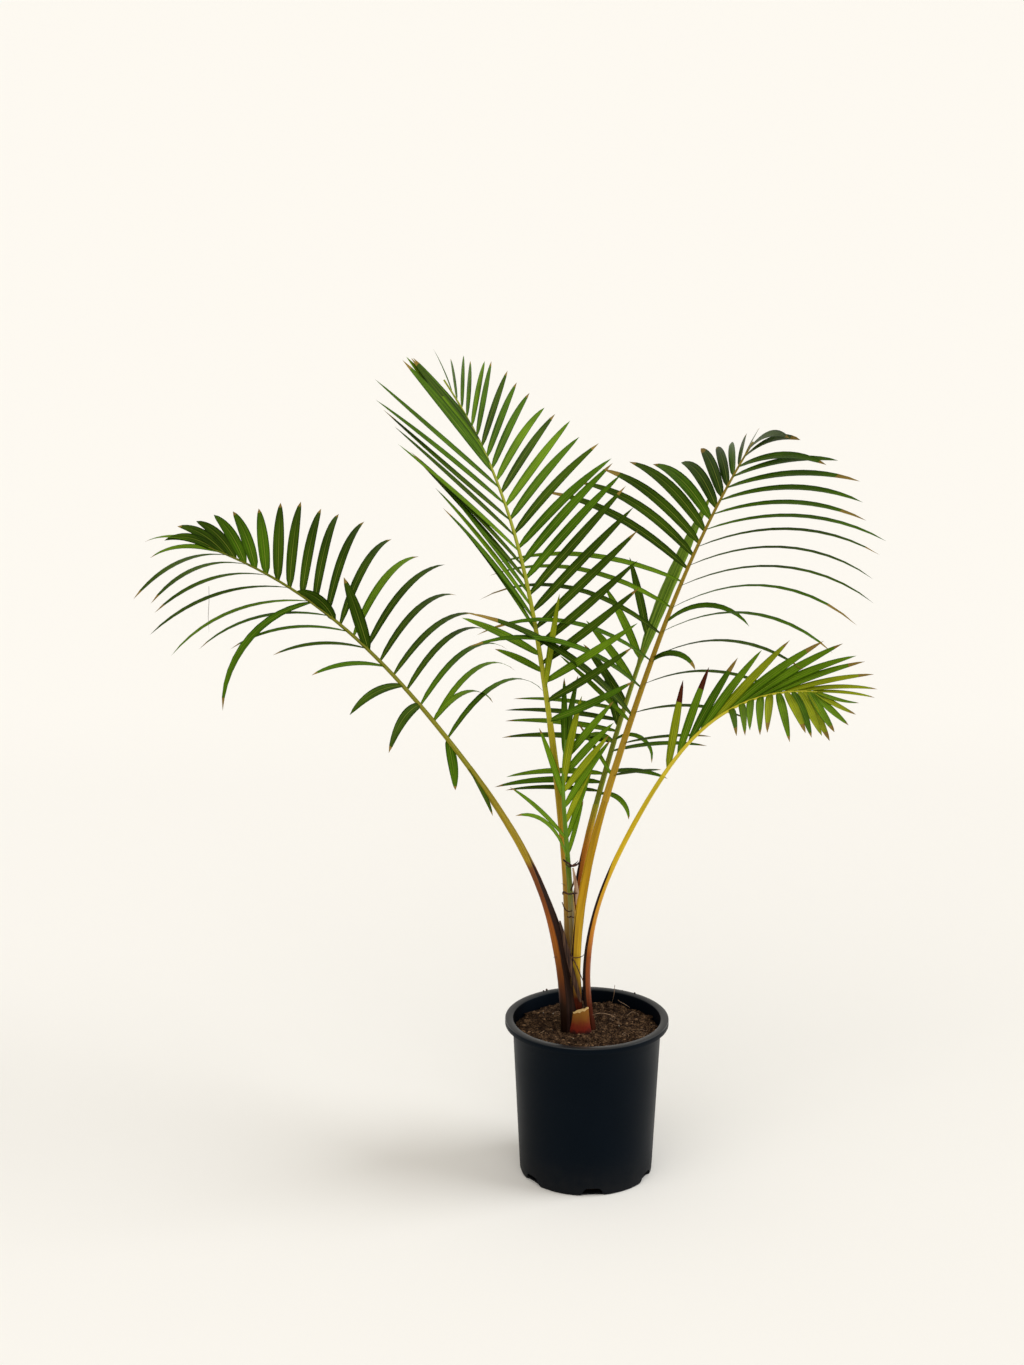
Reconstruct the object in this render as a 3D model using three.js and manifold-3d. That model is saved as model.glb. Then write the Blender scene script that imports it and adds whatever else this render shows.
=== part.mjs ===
import * as THREE from "three";
import { mergeVertices } from "three/addons/utils/BufferGeometryUtils.js";
import Module from "manifold-3d";

const wasm = await Module();
wasm.setup();

// Potted kosi palm: six pinnate fronds and a folded young leaf rise from a
// crown of sheaths in a round nursery pot. Millimetres, +Z up, ground at z = 0,
// pot axis on the origin, the viewer on the -Y side.

// Pot
const POT_HEIGHT = 250;
const POT_FOOT_RADIUS = 102;
const POT_SHOULDER_RADIUS = 113.4;
const POT_RIM_RADIUS = 125;
const POT_WALL = 2;
const POT_FLOOR = 2.5;
const RIM_BAND = 9.5;
const RIM_LIP = 2;
const STEP_BELOW_RIM = 25;
const STEP_PROUD = 0.7;
const RIM_EDGE = 1.5;
const FOOT_ROUND = 4;
const POT_SIDES = 40;
const NOTCHES = 6;
const NOTCH_FIRST = -85.7;
const NOTCH_FOOT_WIDTH = 44;
const NOTCH_TOP_WIDTH = 22;
const NOTCH_HEIGHT = 13;
const NOTCH_DEPTH = 7;
const NOTCH_ROUND = 3;

// Potting soil
const SOIL_TOP = 232;
const SOIL_FLAT_RADIUS = 46;
const SOIL_SHOULDER_RADIUS = 95;
const SOIL_FOOT_ROUND = 5;
const SOIL_CLEAR = 0.9;
const SOIL_RELIEF = 4;
const SOIL_WAVE = 20;
const GAP = 0.3;

// Crown of sheaths and the cut leaf base in front of it
const STUB_SEAT = [-10, -24];
const STUB_HEIGHT = 34;
const STUB_WIDTH = 34;
const STUB_DEPTH = 8;
const STUB_NARROWING = 0.25;
const STUB_BEND_RADIUS = 30;
const STUB_TEAR = 3;
const STUB_TEAR_TURN = 0.8;
const STUB_SLANT = 0.15;
const SHEATH_NECK = 0.85;
const PETIOLE_SIDES = 10;
const PETIOLE_STEPS = 12;
const RACHIS_SIDES = 6;
const RACHIS_STEPS = 14;
// Half depth of a limb as a share of its half width, from foot to end
const PETIOLE_DEPTHS = [0.66, 0.7, 0.75, 0.8, 0.85];
const RACHIS_DEPTHS = [0.85, 0.84, 1];

// Leaflet section: three-sided, deepest along the midrib
const LEAFLET_STEPS = 4;
const LEAFLET_DEPTH_SHARE = 0.012;
const LEAFLET_LEAST_DEPTH = 1.6;
const TIP_DEPTH = 0.35;
const LEAFLET_ROOT_WIDTH = 0.3;
const BELLY_PLACE = 0.85;
const BELLY_FULLNESS = 0.65;
const MIDRIB_STEPS = 20;
const DROOP_POWER = 1.3;
const STEEPEST = 1.54;
// Seeded spread of fan, rise and droop in degrees, and of reach as a share
const FAN_SPREAD = 3;
const RISE_SPREAD = 4;
const DROOP_SPREAD = 8;
const REACH_SPREAD = 0.06;
// Turns tried for a leaflet that would touch another node
const LIFTS = [0, 7, -7, 14, -14];
const LEAF_GAP = 0.4;

// Each frond leaves its seat at soil level. azimuth and lean are stops spread
// evenly along its length, in degrees; lean is measured from the vertical.
// petiole is the share of the length that bears no leaflets, bough the half
// widths of the petiole at its foot, middle and end, rachis those at its ends.
// A row runs up one side: side +1 is on the right looking to the tip. crowd
// draws its leaflets together towards the tip. Its other values are stops from
// its first leaflet to its last: width and reach are a leaflet's size, level
// the share by which its blade turns from the frond's plane to the sky, fan
// its angle to the rachis, rise its lift out of the frond's plane, and droop
// its bend towards the ground. A stray is one leaflet that leaves its row.
const FRONDS = {
  a: {
    seat: [-26, -10], azimuth: [141, 174, 162], lean: [2, 31, 44, 74],
    length: 966, roll: [27, 16, 14],
    petiole: 0.455, bough: [15, 7.5, 5], rachis: [4.6, 1.5],
    rows: [
      {
        side: 1, from: 0.515, to: 0.985, count: 20, crowd: 0.4,
        width: [10, 10.5, 13, 17, 15], level: [0.8, 0.5, 0.2, 0, 0],
        fan: [79, 82, 63, 55, 12], rise: [19, 14, 33, 55, 34],
        droop: [64, 40, 50, 37, 48], reach: [320, 310, 212, 110, 100],
      },
      {
        side: -1, from: 0.584, to: 0.965, count: 11, crowd: 0.05,
        width: [15, 13, 13, 13, 12], level: [0.1, 0.7, 0.9, 0.9, 0.8],
        fan: [77, 45, 36, 63, 79], rise: [6, -5, -21, 18, 23],
        droop: [50, 31, 56, 39, 45], reach: [135, 150, 215, 265, 250],
      },
    ],
    strays: [
      { side: 1, at: 0.55, width: 13, level: 0.9, fan: 80, rise: 30, droop: 85, reach: 165 },
      { side: 1, at: 0.77, width: 17, level: 0, fan: 25, rise: 75, droop: 60, reach: 75 },
      { side: 1, at: 0.7, width: 18, level: 0, fan: 30, rise: 65, droop: 5, reach: 115 },
      { side: -1, at: 0.815, width: 12, level: 0.3, fan: 62, rise: -10, droop: 85, reach: 240 },
      { side: -1, at: 0.515, width: 15, level: 0, fan: 155, rise: -50, droop: 20, reach: 80 },
      { side: -1, at: 0.462, width: 15, level: 0.2, fan: 168, rise: 0, droop: 10, reach: 85 },
      { side: 1, at: 0.985, width: 13, level: 0, fan: 10, rise: 0, droop: 45, reach: 140 },
      { side: -1, at: 0.98, width: 11, level: 0, fan: 8, rise: -10, droop: 50, reach: 115 },
    ],
  },
  b: {
    seat: [-18, 13], azimuth: [117, 130, 161], lean: [4, 11, 16, 36],
    length: 1016, roll: [17, 19, 5],
    petiole: 0.46, bough: [13, 7, 4.8], rachis: [4.4, 1.4],
    rows: [
      {
        side: 1, from: 0.466, to: 0.979, count: 25, crowd: 0.38,
        width: [13, 13.5, 13, 12, 9], level: [0.3, 0.2, 0.1, 0, 0],
        fan: [75, 54, 57, 54, 66], rise: [55, 27, 9, -4, -24],
        droop: [-9, 3, 13, 16, 8], reach: [165, 215, 205, 200, 240],
      },
      {
        side: -1, from: 0.6, to: 0.82, count: 11, crowd: -0.2,
        width: [9, 10, 10, 12], level: [0.3, 0.3, 0.3, 0.2],
        fan: [26, 34, 43, 46], rise: [10, 10, 8, 8],
        droop: [8, 5, 3, 3], reach: [225, 245, 280, 285],
      },
      {
        side: -1, from: 0.845, to: 0.925, count: 5, crowd: 0,
        width: [20, 20, 14], level: [0],
        fan: [22, 22, 22], rise: [0],
        droop: [2], reach: [225, 175, 120],
      },
    ],
    strays: [
      { side: -1, at: 0.565, width: 13, level: 0.2, fan: 54, rise: 10, droop: 12, reach: 148 },
      { side: -1, at: 0.54, width: 11, level: 0.2, fan: 54, rise: 10, droop: 12, reach: 90 },
      { side: 1, at: 0.515, width: 12, level: 0, fan: 21, rise: 60, droop: 0, reach: 150 },
    ],
  },
  c: {
    seat: [-11, -3], azimuth: [44, 48, 44], lean: [-11, 23, 32, 45],
    length: 977, roll: [-28, -15, 14],
    petiole: 0.37, bough: [9, 7.2, 5.2], rachis: [5.6, 1.5],
    rows: [
      {
        side: -1, from: 0.51, to: 0.737, count: 6, crowd: 0,
        width: [15, 14, 13, 13], level: [0.5, 0.7, 0.7, 0.6],
        fan: [67, 76, 73, 91], rise: [50, 55, 26, 44],
        droop: [41, 65, 59, 39], reach: [320, 290, 320, 285],
      },
      {
        side: -1, from: 0.76, to: 0.973, count: 11, crowd: 0.1,
        width: [15, 18, 18, 12], level: [0.4, 0.2, 0, 0],
        fan: [67, 54, 45, 48], rise: [27, 14, -7, -30],
        droop: [36, 34, 31, 6], reach: [290, 225, 175, 200],
      },
      {
        side: 1, from: 0.412, to: 0.981, count: 18, crowd: 0.6,
        width: [12, 14, 15, 16, 14], level: [0.8, 0.9, 0.9, 0.4, 0],
        fan: [70, 67, 60, 77, 92], rise: [16, 27, -2, 7, 29],
        droop: [2, 54, 51, 27, 25], reach: [90, 320, 305, 265, 235],
      },
    ],
    strays: [
      { side: 1, at: 0.665, width: 13, level: 0.4, fan: 45, rise: 20, droop: 95, reach: 150 },
      { side: 1, at: 0.6, width: 13, level: 0.4, fan: 45, rise: 20, droop: 110, reach: 85 },
      { side: -1, at: 0.5, width: 8, level: 0.2, fan: 63, rise: 20, droop: 8, reach: 150 },
      { side: -1, at: 0.41, width: 6, level: 0.2, fan: 47, rise: 20, droop: 5, reach: 98 },
    ],
  },
  d: {
    seat: [7, -3], azimuth: [0, -13, -28], lean: [-12, 20, 37, 89],
    length: 723, roll: [2, 0, -14],
    petiole: 0.6, bough: [11, 6.5, 4.6], rachis: [4.2, 1.5],
    rows: [
      {
        side: -1, from: 0.619, to: 0.986, count: 12, crowd: 0.15,
        width: [13, 12.5, 13, 11, 9], level: [0, 0, 0, 0.1, 0.1],
        fan: [26, 14, 10, 12, 8], rise: [75, 70, 60, 40, 5],
        droop: [0, 5, 10, 12, 18], reach: [135, 150, 180, 150, 95],
      },
      {
        side: 1, from: 0.808, to: 0.998, count: 14, crowd: 0.8,
        width: [10, 12, 12, 12, 10], level: [0.1, 0.1, 0.1, 0.1, 0.1],
        fan: [67, 70, 62, 55, 28], rise: [10, 12, 3, -2, -2],
        droop: [21, 27, 14, -3, -17], reach: [170, 175, 160, 145, 90],
      },
    ],
  },
  e: {
    seat: [-24, 34], azimuth: [52, 63, 60], lean: [-9, 30, 46, 55],
    length: 948, roll: [3, 7, 7],
    petiole: 0.36, bough: [9, 6, 5], rachis: [4.6, 2.2],
    rows: [
      {
        side: -1, from: 0.385, to: 0.415, count: 3, crowd: 0,
        width: [9, 13, 12], level: [0.4],
        fan: [94, 95, 93], rise: [11],
        droop: [14], reach: [165, 180, 168],
      },
      {
        side: -1, from: 0.472, to: 0.53, count: 4, crowd: 0,
        width: [13, 13, 12, 10], level: [0.5],
        fan: [90, 89, 89, 88], rise: [12],
        droop: [13], reach: [190, 195, 198, 198],
      },
      {
        side: -1, from: 0.5, to: 0.67, count: 5, crowd: 0,
        width: [13], level: [0],
        fan: [27, 45, 48, 36, 28], rise: [20],
        droop: [8], reach: [105, 130, 140, 155, 165],
      },
      {
        side: 1, from: 0.38, to: 0.455, count: 3, crowd: 0,
        width: [10, 12, 12], level: [0.6],
        fan: [78, 82, 78], rise: [10],
        droop: [110, 25, 16], reach: [75, 114, 172],
      },
    ],
    strays: [
      { side: -1, at: 0.47, width: 11, level: 0.4, fan: 62, rise: 30, droop: 110, reach: 68 },
      { side: 1, at: 0.475, width: 8, level: 0.2, fan: 60, rise: 20, droop: 150, reach: 95 },
    ],
  },
  f: {
    seat: [-9, 6], azimuth: [200, 140, 70], lean: [9, 3, 10, 30],
    length: 451, roll: [0, 0, 0],
    petiole: 0.57, bough: [6, 5.2, 4.4], rachis: [4.2, 1.8],
    rows: [
      {
        side: 1, from: 0.61, to: 0.93, count: 7, crowd: 0,
        width: [8, 10, 11, 12], level: [0],
        fan: [22, 25, 34, 38, 36], rise: [8],
        droop: [6], reach: [85, 120, 125, 110, 120],
      },
      {
        side: 1, from: 0.84, to: 0.97, count: 2, crowd: 0,
        width: [13], level: [0],
        fan: [9, 3], rise: [30],
        droop: [8], reach: [145, 115],
      },
      {
        side: -1, from: 0.585, to: 0.665, count: 2, crowd: 0,
        width: [10], level: [0.3],
        fan: [24, 45], rise: [25],
        droop: [62, 15], reach: [168, 165],
      },
      {
        side: -1, from: 0.8, to: 0.95, count: 2, crowd: 0,
        width: [10], level: [0],
        fan: [14, 6], rise: [10],
        droop: [8], reach: [115, 120],
      },
    ],
  },
};

// The newest leaf stands behind the tall right frond as a folded strap.
const STRAP_FROM = 0.6;
const STRAP_WIDTH = 24;
const STRAP_DEPTH = 7;
const STRAP_SPREAD = [0.15, 0.8, 1, 0.95, 0.6, 0.12];
const STRAP_THICK = [0.5, 0.9, 1, 0.9, 0.7, 0.25];

const COLOURS = {
  pot: 0x2b3036, soil: 0x4a3628, stub: 0x9a5a3a,
  petiole_a: 0x9a8550, petiole_b: 0x8f8d52, petiole_c: 0xc79552,
  petiole_d: 0xb9a552, petiole_e: 0x8c5f3f, petiole_f: 0x7a9a45,
  frond_a: 0x4a6a3c, frond_b: 0x587a42, frond_c: 0x4d6c3d,
  frond_d: 0x5d7b3f, frond_e: 0x668848, frond_f: 0x77994a,
};
const ROUGHNESS = { pot: 0.45, soil: 0.95 };
const PLANT_ROUGHNESS = 0.55;

const rad = THREE.MathUtils.degToRad;

// Value at a share of the way through evenly spaced stops.
function along(stops, share) {
  if (stops.length === 1) return stops[0];
  const spans = stops.length - 1;
  const x = Math.min(Math.max(share, 0), 1) * spans;
  const i = Math.min(Math.floor(x), spans - 1);
  const t = x - i;
  const b = stops[i];
  const c = stops[i + 1];
  const a = i > 0 ? stops[i - 1] : 2 * b - c;
  const d = i + 2 <= spans ? stops[i + 2] : 2 * c - b;
  const bend = (2 * a - 5 * b + 4 * c - d) * t * t + (3 * b - a - 3 * c + d) * t ** 3;
  return 0.5 * (2 * b + (c - a) * t + bend);
}

function heading(azimuth, lean) {
  const a = rad(azimuth);
  const l = rad(lean);
  return new THREE.Vector3(Math.sin(l) * Math.cos(a), Math.sin(l) * Math.sin(a), Math.cos(l));
}

// Centre line of a frond, from its seat to its tip.
const LINE_STEPS = 48;
function centreLine(frond) {
  const points = [new THREE.Vector3(frond.seat[0], frond.seat[1], SOIL_TOP)];
  for (let i = 0; i < LINE_STEPS; i++) {
    const s = (i + 0.5) / LINE_STEPS;
    const step = heading(along(frond.azimuth, s), along(frond.lean, s));
    points.push(points[i].clone().addScaledVector(step, frond.length / LINE_STEPS));
  }
  return points;
}

// Point, tangent, side and face normal of a frond at a share of its length.
function stance(frond, points, share) {
  const x = Math.min(Math.max(share, 0), 1) * LINE_STEPS;
  const i = Math.min(Math.floor(x), LINE_STEPS - 1);
  const point = points[i].clone().lerp(points[i + 1], x - i);
  const azimuth = along(frond.azimuth, share);
  const tangent = heading(azimuth, along(frond.lean, share));
  const a = rad(azimuth);
  const roll = rad(along(frond.roll, share));
  const flat = new THREE.Vector3(Math.sin(a), -Math.cos(a), 0);
  const top = new THREE.Vector3().crossVectors(flat, tangent);
  const side = flat.clone().multiplyScalar(Math.cos(roll)).addScaledVector(top, Math.sin(roll));
  const face = top.multiplyScalar(Math.cos(roll)).addScaledVector(flat, -Math.sin(roll));
  return { point, tangent, side, face };
}

function solid(geometry) {
  const g = geometry.clone();
  g.deleteAttribute("normal");
  g.deleteAttribute("uv");
  const merged = mergeVertices(g, 1e-4);
  return new wasm.Manifold(new wasm.Mesh({
    numProp: 3,
    vertProperties: new Float32Array(merged.attributes.position.array),
    triVerts: new Uint32Array(merged.index.array),
  }));
}

function geometryOf(manifold) {
  const mesh = manifold.getMesh();
  const g = new THREE.BufferGeometry();
  g.setAttribute("position", new THREE.BufferAttribute(Float32Array.from(mesh.vertProperties), 3));
  g.setIndex(new THREE.BufferAttribute(Uint32Array.from(mesh.triVerts), 1));
  g.computeVertexNormals();
  return g;
}

// Keeps the largest body of a solid that a cut has left in pieces.
function largest(manifold) {
  return manifold.decompose().reduce((a, b) => (a.volume() >= b.volume() ? a : b));
}

// A cylinder bent along a frond between two shares of its length, its half
// width and half depth given as stops.
function limb(frond, points, from, to, widths, depths, sides, steps, extra = 0) {
  const g = new THREE.CylinderGeometry(1, 1, 1, sides, steps);
  const p = g.attributes.position;
  for (let i = 0; i < p.count; i++) {
    const u = p.getY(i) + 0.5;
    const at = stance(frond, points, from + (to - from) * u);
    const w = along(widths, u) + extra;
    const d = along(depths, u) + extra;
    // x of the section runs along the side, y along the tangent, z below.
    const q = at.point.addScaledVector(at.side, -p.getX(i) * w);
    q.addScaledVector(at.face, -p.getZ(i) * d);
    p.setXYZ(i, q.x, q.y, q.z);
  }
  return solid(g);
}

// Seeded noise in 0..1.
function chance(n) {
  const v = Math.sin(n * 12.9898 + 4.1) * 43758.5453;
  return v - Math.floor(v);
}

// Share of full width along a leaflet: narrow root, widest before the middle,
// fine tip.
function leafletWidth(t) {
  const belly = Math.max(0, Math.sin(Math.PI * t ** BELLY_PLACE)) ** BELLY_FULLNESS;
  return belly + LEAFLET_ROOT_WIDTH * (1 - t) ** 4;
}

// One leaflet: a three-sided cone bent along the midrib and flattened.
function leaflet(at, { side, fan, rise, droop, reach, width, level }) {
  const f = rad(fan);
  const r = rad(rise);
  const out = at.tangent.clone().multiplyScalar(Math.cos(f))
    .addScaledVector(at.side, side * Math.cos(r) * Math.sin(f))
    .addScaledVector(at.face, Math.sin(r) * Math.sin(f));
  const run = Math.hypot(out.x, out.y);
  const slope = Math.atan2(out.z, run);
  const flat = new THREE.Vector3(out.x / run, out.y / run, 0);
  const midrib = [];
  const p = at.point.clone();
  // The edge starts out along the rachis and is carried on down the midrib, so
  // that the blade never turns over.
  const edge = at.tangent.clone();
  for (let i = 0; i <= MIDRIB_STEPS; i++) {
    const t = Math.max((i - 0.5) / MIDRIB_STEPS, 0);
    const angle = Math.max(slope - rad(droop) * t ** DROOP_POWER, -STEEPEST);
    const ahead = flat.clone().multiplyScalar(Math.cos(angle));
    ahead.z = Math.sin(angle);
    if (i > 0) p.addScaledVector(ahead, reach / MIDRIB_STEPS);
    edge.addScaledVector(ahead, -edge.dot(ahead)).normalize();
    midrib.push({ centre: p.clone(), ahead, edge: edge.clone() });
  }
  const depth = Math.max(reach * LEAFLET_DEPTH_SHARE, LEAFLET_LEAST_DEPTH);
  const g = new THREE.ConeGeometry(1, 1, 3, LEAFLET_STEPS);
  const q = g.attributes.position;
  for (let i = 0; i < q.count; i++) {
    const t = q.getY(i) + 0.5;
    const { centre, ahead, edge } = midrib[Math.round(t * MIDRIB_STEPS)];
    const sky = new THREE.Vector3(0, 0, 1).addScaledVector(ahead, -ahead.z).multiplyScalar(level);
    const face = new THREE.Vector3().crossVectors(ahead, edge).multiplyScalar(side * (1 - level));
    face.add(sky).normalize();
    const across = new THREE.Vector3().crossVectors(face, ahead);
    // The cone's own section is brought to a half width of one and a depth of one.
    const round = Math.max(1 - t, 1e-6);
    const x = q.getX(i) / round / Math.cos(Math.PI / 6);
    const z = (q.getZ(i) / round + 0.5) / 1.5;
    const isTip = t > 0.999;
    const w = isTip ? 0 : (leafletWidth(t) * width) / 2;
    const d = isTip ? 0 : depth * (TIP_DEPTH + (1 - TIP_DEPTH) * Math.sqrt(1 - t));
    const v = centre.clone().addScaledVector(across, x * w).addScaledVector(face, -z * d);
    q.setXYZ(i, v.x, v.y, v.z);
  }
  return solid(g);
}

const pieces = {};

// A turned solid from an outline of radii and heights.
function turned(outline) {
  const points = outline.map(([r, z]) => new THREE.Vector2(r, z));
  return new THREE.LatheGeometry(points, POT_SIDES).rotateX(Math.PI / 2);
}

const wallSlope = (POT_SHOULDER_RADIUS - POT_FOOT_RADIUS) / (POT_HEIGHT - RIM_BAND);
const wallAt = (z) => POT_FOOT_RADIUS + wallSlope * z;

// Pot: a turned wall with a folded rim, a shoulder ring and a flat floor.
{
  const step = POT_HEIGHT - STEP_BELOW_RIM;
  const underRim = POT_HEIGHT - RIM_LIP - 1;
  const insideBand = POT_RIM_RADIUS - RIM_LIP;
  const outline = [
    [0, 0],
    [POT_FOOT_RADIUS - FOOT_ROUND, 0],
    [POT_FOOT_RADIUS - FOOT_ROUND / 4, FOOT_ROUND * 0.3],
    [POT_FOOT_RADIUS, FOOT_ROUND],
    [wallAt(step), step],
    [wallAt(step) + STEP_PROUD, step + 1],
    [POT_SHOULDER_RADIUS + STEP_PROUD, underRim],
    [insideBand, underRim],
    [insideBand, POT_HEIGHT - RIM_BAND],
    [POT_RIM_RADIUS, POT_HEIGHT - RIM_BAND],
    [POT_RIM_RADIUS, POT_HEIGHT - RIM_EDGE],
    [POT_RIM_RADIUS - RIM_EDGE, POT_HEIGHT],
    [POT_SHOULDER_RADIUS + RIM_EDGE, POT_HEIGHT],
    [POT_SHOULDER_RADIUS - POT_WALL / 3, POT_HEIGHT - RIM_EDGE],
    [wallAt(step) - POT_WALL + STEP_PROUD, step],
    [POT_FOOT_RADIUS - POT_WALL, POT_FLOOR * 1.8],
    [POT_FOOT_RADIUS - POT_WALL - POT_FLOOR * 1.2, POT_FLOOR],
    [0, POT_FLOOR],
  ];
  let pot = solid(turned(outline));
  const top = NOTCH_TOP_WIDTH / 2;
  const arch = new THREE.Shape([
    new THREE.Vector2(-NOTCH_FOOT_WIDTH / 2, -1),
    new THREE.Vector2(NOTCH_FOOT_WIDTH / 2, -1),
    new THREE.Vector2(top + NOTCH_ROUND, NOTCH_HEIGHT - NOTCH_ROUND),
    new THREE.Vector2(top, NOTCH_HEIGHT),
    new THREE.Vector2(-top, NOTCH_HEIGHT),
    new THREE.Vector2(-top - NOTCH_ROUND, NOTCH_HEIGHT - NOTCH_ROUND),
  ]);
  for (let i = 0; i < NOTCHES; i++) {
    const settings = { depth: NOTCH_HEIGHT * 3, bevelEnabled: false, steps: 1 };
    const cutter = new THREE.ExtrudeGeometry(arch, settings);
    cutter.rotateX(Math.PI / 2).translate(0, NOTCH_DEPTH - POT_FOOT_RADIUS, 0);
    cutter.rotateZ(rad(NOTCH_FIRST + 90 + (i * 360) / NOTCHES));
    pot = pot.subtract(solid(cutter));
  }
  pieces.pot = largest(pot);
}

// Potting soil: fills the pot to just under the rim, level round the crown.
{
  const low = POT_FLOOR + GAP;
  const rest = POT_FOOT_RADIUS - POT_WALL - GAP;
  const edge = SOIL_TOP - SOIL_RELIEF;
  const outline = [
    [0, low],
    [rest - SOIL_FOOT_ROUND, low],
    [rest - SOIL_CLEAR, low + SOIL_FOOT_ROUND],
    [wallAt(edge) - POT_WALL - GAP - SOIL_CLEAR / 2, edge],
    [SOIL_SHOULDER_RADIUS, SOIL_TOP - SOIL_RELIEF / 4],
    [(SOIL_SHOULDER_RADIUS + SOIL_FLAT_RADIUS) / 2, SOIL_TOP],
    [SOIL_FLAT_RADIUS, SOIL_TOP],
    [0, SOIL_TOP],
  ];
  const g = turned(outline);
  const p = g.attributes.position;
  for (let i = 0; i < p.count; i++) {
    const r = Math.hypot(p.getX(i), p.getY(i));
    if (p.getZ(i) < SOIL_TOP - SOIL_RELIEF / 2 || r < SOIL_FLAT_RADIUS + 5) continue;
    const turn = Math.atan2(p.getY(i), p.getX(i));
    const wave = Math.sin(3 * turn + r / SOIL_WAVE) * Math.sin(5 * turn + 1);
    p.setZ(i, p.getZ(i) + (SOIL_RELIEF / 2) * wave);
  }
  pieces.soil = solid(g);
}

// Petioles and their clasping sheaths stand on the soil and share one crown:
// each later one is trimmed by the ones before it.
const lines = {};
for (const key of Object.keys(FRONDS)) lines[key] = centreLine(FRONDS[key]);
const trimmed = [];
const groundCut = SOIL_TOP + GAP;
for (const key of ["c", "a", "d", "b", "e", "f"]) {
  const frond = FRONDS[key];
  const [foot, middle, end] = frond.bough;
  const share = frond.petiole - GAP / frond.length;
  const widths = [foot, foot * SHEATH_NECK, middle, (middle + end) / 2, end];
  const depths = widths.map((width, i) => width * PETIOLE_DEPTHS[i]);
  const grow = (extra) =>
    limb(frond, lines[key], 0, share, widths, depths, PETIOLE_SIDES, PETIOLE_STEPS, extra);
  let petiole = grow(0).trimByPlane([0, 0, 1], groundCut);
  for (const other of trimmed) petiole = petiole.subtract(other);
  pieces["petiole_" + key] = largest(petiole);
  trimmed.push(grow(LEAF_GAP));
}

// The cut leaf base in front: a curved plate with a torn, slanting top.
{
  const g = new THREE.CylinderGeometry(1, 1, 1, PETIOLE_SIDES, 3);
  const p = g.attributes.position;
  for (let i = 0; i < p.count; i++) {
    const u = p.getY(i) + 0.5;
    const x = p.getX(i) * (STUB_WIDTH / 2) * (1 - STUB_NARROWING * u);
    const ragged = u > 0.99 ? STUB_TEAR * Math.sin(x * STUB_TEAR_TURN) + x * STUB_SLANT : 0;
    const y = STUB_SEAT[1] - (p.getZ(i) * STUB_DEPTH) / 2 + (x * x) / 2 / STUB_BEND_RADIUS;
    p.setXYZ(i, STUB_SEAT[0] + x, y, SOIL_TOP - 2 + u * (STUB_HEIGHT + 2) + ragged);
  }
  let stub = solid(g).trimByPlane([0, 0, 1], groundCut);
  for (const other of trimmed) stub = stub.subtract(other);
  pieces.stub = largest(stub);
}

// Rachis of every frond, then its leaflets. A leaflet that would come within
// the gap of another node is lifted or lowered a little, or else left out.
const rachises = {};
for (const key of Object.keys(FRONDS)) {
  const frond = FRONDS[key];
  const [wide, fine] = frond.rachis;
  const widths = [wide, (wide + fine) / 2, fine];
  const depths = widths.map((width, i) => width * RACHIS_DEPTHS[i]);
  rachises[key] = limb(
    frond, lines[key], frond.petiole, 1, widths, depths, RACHIS_SIDES, RACHIS_STEPS);
}
// Folded strap: leaflets of the youngest leaf still pressed together.
const spread = STRAP_SPREAD.map((share) => (share * STRAP_WIDTH) / 2);
const thick = STRAP_THICK.map((share) => (share * STRAP_DEPTH) / 2);
rachises.e = rachises.e.add(limb(FRONDS.e, lines.e, STRAP_FROM, 1, spread, thick, RACHIS_SIDES, 10));

// Every leaflet of a frond, with the share of the length where it springs.
function* leaflets(key, frond) {
  for (const [index, row] of frond.rows.entries()) {
    for (let i = 0; i < row.count; i++) {
      const u = i / (row.count - 1);
      const n = i + 40 * index + 100 * key.charCodeAt(0);
      const share = row.from + (row.to - row.from) * u * (1 + row.crowd * (1 - u));
      yield [share, {
        side: row.side,
        width: along(row.width, u),
        level: along(row.level, u),
        fan: along(row.fan, u) + FAN_SPREAD * (chance(n + 0.1) - 0.5),
        rise: along(row.rise, u) + RISE_SPREAD * (chance(n + 0.2) - 0.5),
        droop: along(row.droop, u) + DROOP_SPREAD * (chance(n + 0.4) - 0.5),
        reach: along(row.reach, u) * (1 + REACH_SPREAD * (chance(n + 0.3) - 0.5)),
      }];
    }
  }
  for (const stray of frond.strays ?? []) yield [stray.at, stray];
}

const near = (a, b, d) => a.min.every((v, i) => v <= b.max[i] + d && a.max[i] >= b.min[i] - d);
const boxes = new Map();
const boxOf = (m) => {
  if (!boxes.has(m)) boxes.set(m, m.boundingBox());
  return boxes.get(m);
};
const grown = {};
for (const key of ["c", "b", "a", "d", "e", "f"]) {
  const frond = FRONDS[key];
  const others = Object.values(pieces);
  for (const k of Object.keys(FRONDS)) if (k !== key) others.push(rachises[k]);
  for (const k of Object.keys(grown)) others.push(...grown[k]);
  grown[key] = [];
  for (const [share, shape] of leaflets(key, frond)) {
    const at = stance(frond, lines[key], share);
    for (const lift of LIFTS) {
      const blade = leaflet(at, { ...shape, rise: shape.rise + lift });
      const box = blade.boundingBox();
      const touches = (o) => near(box, boxOf(o), 1) && blade.minGap(o, 1) < LEAF_GAP;
      if (others.some(touches)) continue;
      grown[key].push(blade);
      break;
    }
  }
}
for (const key of Object.keys(FRONDS)) {
  pieces["frond_" + key] = largest(wasm.Manifold.union([rachises[key], ...grown[key]]));
}

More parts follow.
